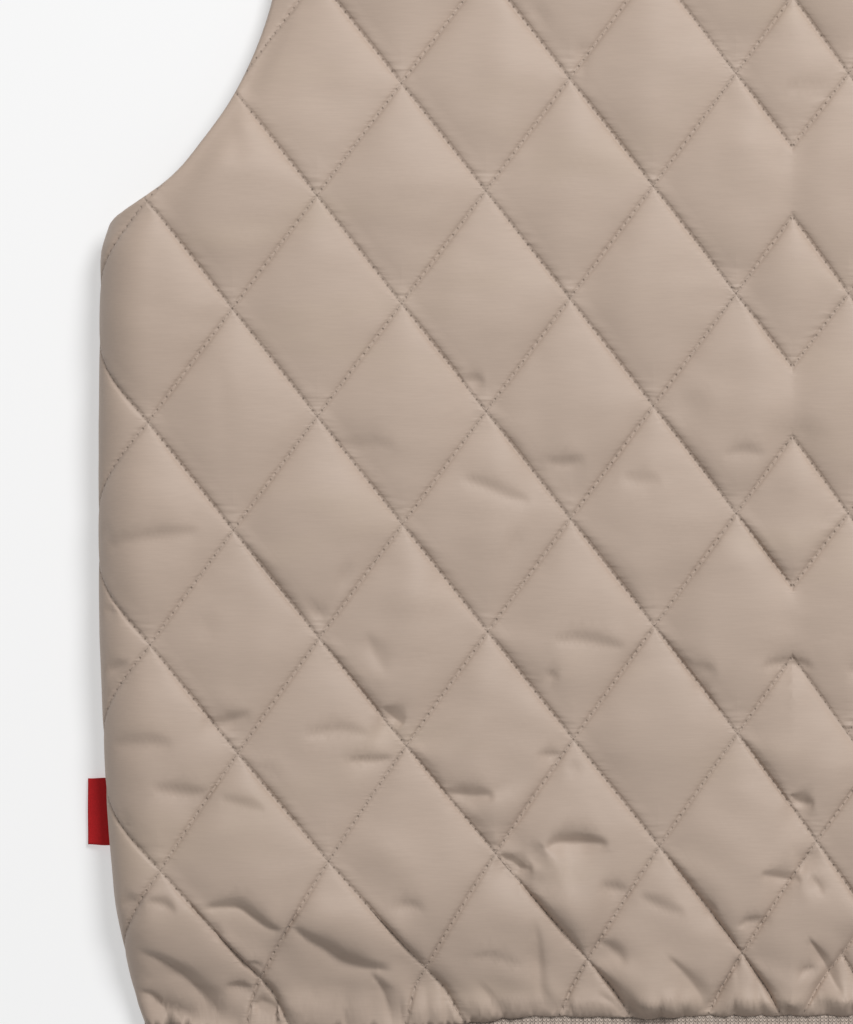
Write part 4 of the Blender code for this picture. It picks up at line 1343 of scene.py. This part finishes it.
def front_panel(context, sizes, name, side, outermost):
    """One front in the flat space, laid under the back."""
    path = panel_edge(column=2, neck=FRONT_NECK, over=False)
    path = np.concatenate([[(-LAP, 0.0)], path, [(-LAP, FRONT_NECK[-1][1]), (-LAP, 0.0)]])
    flat = lattice_grid(sizes.front_cells)
    trim(flat, path, path[:-1], sizes.edge_roll, FRONT_SNAP)
    close_panel(flat, path, path[:-1], sizes.edge_roll, False, sizes.inner_cell)
    if side < 0:
        bmesh.ops.scale(flat, vec=(-1, 1, 1), verts=flat.verts[:])
        bmesh.ops.reverse_faces(flat, faces=flat.faces[:])
    piece = new_piece(context, name, flat)
    arc, height, depth = flat_places(piece).T
    edge, _ = path_distance(path, np.stack([arc * side, height], -1))
    wall = front_wall(height)
    share = -depth
    depth = depth * wall
    face = depth > -1e-9
    depth[face] = front_relief(sizes, arc[face] * side, height[face], edge[face] - sizes.edge_roll)
    add_map(piece, "quilt", np.stack(lattice_at(np.abs(arc), height), -1)[corner_verts(piece)])
    place = (front_surface(arc, height)
             + outward(front_surface, arc, height, -1) * depth[:, None])
    lap = 1 - rise_between(LAP_TURN, arc * side)
    half = (wall + SEAM_GAP) / 2 * lap
    place[:, 2] += -half * share if outermost else half * (1 - share)
    lay(piece, place)
    return piece, path


class VEST_OT_fronts(bpy.types.Operator):
    """Both fronts, which lie under the back and overlap at the centre"""
    bl_idname = "vest.fronts"
    bl_label = "Fronts"

    def execute(self, context):
        sizes, colours = context.scene.vest_sizes, context.scene.vest_colours
        cloth = bpy.data.materials.get("quilted_fabric") or fabric_finish(
            "quilted_fabric", sizes, colours)
        for name, side, outermost in (("front_left", -1, True), ("front_right", 1, False)):
            piece, path = front_panel(context, sizes, "quilted_" + name, side, outermost)
            dress(piece, cloth, name)
            float(shoelace(path[:-1]))
        return {"FINISHED"}


class VEST_OT_hem_band(bpy.types.Operator):
    """Ribbed band round the hem, lapped at the centre front"""
    bl_idname = "vest.hem_band"
    bl_label = "Hem band"

    def execute(self, context):
        sizes, colours = context.scene.vest_sizes, context.scene.vest_colours
        fold, wall = BAND_FOLD, BAND_FOLD.wall
        straight = float(read(SIDE_FOLD, 0.0)) - fold.out
        turn = quarter(fold.out, fold.up) + quarter(fold.out, fold.widest)
        half = straight * 2 + turn + LAP
        ribs = round(2 * half / sizes.rib_pitch)
        columns = ribs * 8
        roll = wall / 2
        rows = np.concatenate([[0, 0.15 * roll, 0.5 * roll, roll],
                               np.linspace(roll, BAND_HEIGHT - roll, 9)[1:],
                               BAND_HEIGHT - np.array([0.5, 0.15, 0.0]) * roll])
        flat = bmesh.new()
        bmesh.ops.create_grid(flat, x_segments=columns, y_segments=len(rows) - 1, size=1)
        for vert in flat.verts:
            row = round((vert.co.y + 1) / 2 * (len(rows) - 1))
            vert.co.x *= half
            vert.co.y = -SEAM_GAP - rows[row]
        bmesh.ops.solidify(flat, geom=flat.faces[:], thickness=1.0)
        piece = new_piece(context, "rib_hem_band", flat)
        arc, height, depth = flat_places(piece).T
        depth = depth - depth.min()
        inner = depth < 0.5
        from_end = np.minimum(-SEAM_GAP - height, height + SEAM_GAP + BAND_HEIGHT)
        near = np.clip(roll - from_end, 0, roll)
        pinch = roll - np.sqrt(np.maximum(roll ** 2 - near ** 2, 0))
        wave = np.abs(np.cos(math.pi * arc / (2 * half) * ribs)) ** 0.8
        rib = -sizes.rib_depth * (1 - wave)
        level = np.where(inner, -wall + pinch, np.minimum(rib, 0) - pinch)
        level = np.where(inner, np.minimum(level, -wall / 2), np.maximum(level, -wall / 2))
        reach = np.abs(arc)
        over = straight + turn
        angle = np.clip((reach - straight) / turn, 0, 1) * math.pi

        def along(upper, turned, lower):
            """A value of the band's upper side, its turn and its lower side."""
            return np.where(reach < straight, upper, np.where(reach > over, lower, turned))

        across = along(reach, straight + fold.out * np.sin(angle), straight - (reach - over))
        level_of = along(fold.widest + fold.up, fold.widest + fold.up * np.cos(angle), 0.0)
        facing = np.stack([along(0.0, np.sin(angle), 0.0), along(1.0, np.cos(angle), -1.0)], -1)
        side = np.sign(arc + 1e-12)
        tucked = (-SEAM_GAP - height <= roll) * (1 - ease((reach - straight) / TUCK_FADE + 1))
        height = height + sizes.band_tuck * tucked
        place = np.stack([side * (across + facing[:, 0] * level), height - ORIGIN_HEIGHT,
                          level_of + facing[:, 1] * level], -1)
        left = side < 0
        lap = np.where(reach > over, 1 - rise_between(LAP_TURN, across), 0)
        step = (wall + SEAM_GAP) / 2 * lap
        inside = -level / wall
        place[:, 2] += np.where(left, -step * inside, step * (1 - inside))
        add_map(piece, "knit", np.stack([arc, height], -1)[corner_verts(piece)] / MM)
        lay(piece, place)
        dress(piece, knit_finish(colours), "hem_band")
        2 * half
        return {"FINISHED"}


class VEST_OT_label(bpy.types.Operator):
    """Small woven tab in the left side seam"""
    bl_idname = "vest.label"
    bl_label = "Side label"

    def execute(self, context):
        colours = context.scene.vest_colours
        low, high = LABEL_HEIGHTS
        fold = fold_at(high)
        cos, sin = math.cos(SEAM_ANGLE), math.sin(SEAM_ANGLE)
        seam = np.array([float(read(SIDE_FOLD, high)) - fold.out * (1 - cos),
                         fold.widest * (1 - sin)])
        away = np.array([cos / fold.out, -sin / fold.widest])
        root = seam + away / np.linalg.norm(away) * (2 * SEAM_GAP + LABEL_WALL / 2)
        end = np.array([LABEL_REACH - LABEL_WALL / 2, LABEL_END])
        width = float(np.linalg.norm(end - root)) + LABEL_WALL / 2
        flat = bmesh.new()
        bmesh.ops.create_grid(flat, x_segments=14, y_segments=26, size=0.5)
        bmesh.ops.solidify(flat, geom=flat.faces[:], thickness=LABEL_WALL)
        rim = [e for e in flat.edges if len(e.link_faces) == 2 and e.calc_face_angle() > 1.0]
        bmesh.ops.bevel(flat, geom=rim, offset=0.0004, offset_type="OFFSET", segments=2,
                        profile=0.5, affect="EDGES", material=-1)
        piece = new_piece(context, "woven_side_label", flat)
        u, v, w = flat_places(piece).T
        w = w - (w.max() + w.min()) / 2
        tall = high - low
        run = (end - root) / np.linalg.norm(end - root)
        up = np.array([-run[1], run[0]])
        share = np.clip(u + 0.5, 0, 1)
        curl = (0.0004 * np.sin(math.pi * share) + 0.00016 * np.sin(7 * v + 1.2) * share)
        spot = root + run * (share * width)[:, None] + up * (w + curl)[:, None]
        tip = 1 + 0.012 * np.sin(5 * share)
        place = np.stack([-spot[:, 0], (low + high) / 2 + v * tall * tip - ORIGIN_HEIGHT,
                          np.maximum(spot[:, 1], 0.0004)], -1)
        tape = np.stack([share * width, (v + 0.5) * tall], -1)
        add_map(piece, "tape", tape[corner_verts(piece)] / MM)
        lay(piece, place)
        dress(piece, label_finish(colours), "label")
        return {"FINISHED"}


class VEST_OT_cut(bpy.types.Operator):
    """Works out the area of the back's cut, which nothing keeps"""
    bl_idname = "vest.cut"
    bl_label = "State the back's cut"

    def execute(self, context):
        path = back_edge()
        float(2 * shoelace(np.concatenate([path, [(0, 0)]])))
        return {"FINISHED"}


# ---- Stage ------------------------------------------------------------------------------
CAMERA_PLACE = (-0.1429, -0.0734)     # the photograph's middle
PHOTO_TALL = 1024 * 0.39 * MM         # what the photograph spans at the vest's top
PHOTO_LEVEL = 0.020
CAMERA_AWAY = 2.8
FLOOR_GLOW = 0.47                     # glow of the pale floor, which keeps its shadows soft
SKY_STRENGTH = 0.30
LIGHT_AIM = (-0.05, 0.0, 0.0)
# Lights: name, place, size and power in watts.
LIGHTS = (
    ("key", (0.95, 1.50, 2.35), 1.25, 77.5),
    ("fill", (-1.6, -0.4, 2.6), 2.2, 3.0),
)


class VEST_OT_stage(bpy.types.Operator):
    """Floor, soft studio light and a camera straight above, as in the photograph"""
    bl_idname = "vest.stage"
    bl_label = "Stage"

    def execute(self, context):
        colours = context.scene.vest_colours
        ground = bmesh.new()
        bmesh.ops.create_grid(ground, x_segments=4, y_segments=4, size=4.0)
        floor = new_piece(context, "floor", ground)
        pale = Finish("floor", 0.85, {"Specular IOR Level": 0.1, "Emission Strength": FLOOR_GLOW,
                                      "Emission Color": (1.0, 1.0, 1.0, 1.0)})
        cloudy = pale.noise(pale.object_place(), 3.0)
        pale.feed("Base Color", pale.mix(cloudy, shade(colours.floor, 0.992), colours.floor))
        floor.data.materials.append(pale.material)
        for name, place, size, power in LIGHTS:
            light = bpy.data.lights.new(name, "AREA")
            light.shape, light.size, light.energy = "DISK", size, power
            lamp = new_object(context, name, light)
            lamp.location = place
            aim = Vector(LIGHT_AIM) - lamp.location
            lamp.rotation_euler = aim.to_track_quat("-Z", "Y").to_euler()
        world = bpy.data.worlds.new("studio")
        world.use_nodes = True
        sky = world.node_tree.nodes["Background"]
        sky.inputs["Color"].default_value = (1.0, 1.0, 1.0, 1.0)
        sky.inputs["Strength"].default_value = SKY_STRENGTH
        context.scene.world = world
        view = bpy.data.cameras.new("camera")
        view.lens = view.sensor_width * CAMERA_AWAY / PHOTO_TALL
        view.clip_end = 20
        camera = new_object(context, "camera", view)
        camera.location = (*CAMERA_PLACE, PHOTO_LEVEL + CAMERA_AWAY)
        context.scene.camera = camera
        context.scene.view_settings.view_transform = "Standard"
        return {"FINISHED"}


class VEST_PT_panel(bpy.types.Panel):
    """The vest's pieces, sizes and colours"""
    bl_idname = "VEST_PT_panel"
    bl_label = "Quilted vest"
    bl_space_type = "VIEW_3D"
    bl_region_type = "UI"
    bl_category = "Vest"

    def draw(self, context):
        for operator in PIECES:
            self.layout.operator(operator.bl_idname)
        for group in (context.scene.vest_sizes, context.scene.vest_colours):
            box = self.layout.box()
            for name in group.__annotations__:
                box.prop(group, name)


PIECES = (VEST_OT_stage, VEST_OT_back, VEST_OT_stitches, VEST_OT_fronts, VEST_OT_hem_band,
          VEST_OT_label, VEST_OT_cut)
CLASSES = (VestSizes, VestColours, *PIECES, VEST_PT_panel)


def register():
    for made in CLASSES:
        bpy.utils.register_class(made)
    bpy.types.Scene.vest_sizes = bpy.props.PointerProperty(type=VestSizes)
    bpy.types.Scene.vest_colours = bpy.props.PointerProperty(type=VestColours)


def unregister():
    del bpy.types.Scene.vest_sizes
    del bpy.types.Scene.vest_colours
    for made in reversed(CLASSES):
        bpy.utils.unregister_class(made)


def main():
    register()
    bpy.ops.vest.stage()
    bpy.ops.vest.back()
    bpy.ops.vest.stitches()
    bpy.ops.vest.fronts()
    bpy.ops.vest.hem_band()
    bpy.ops.vest.label()
    bpy.ops.vest.cut()


if __name__ == "__main__":
    main()
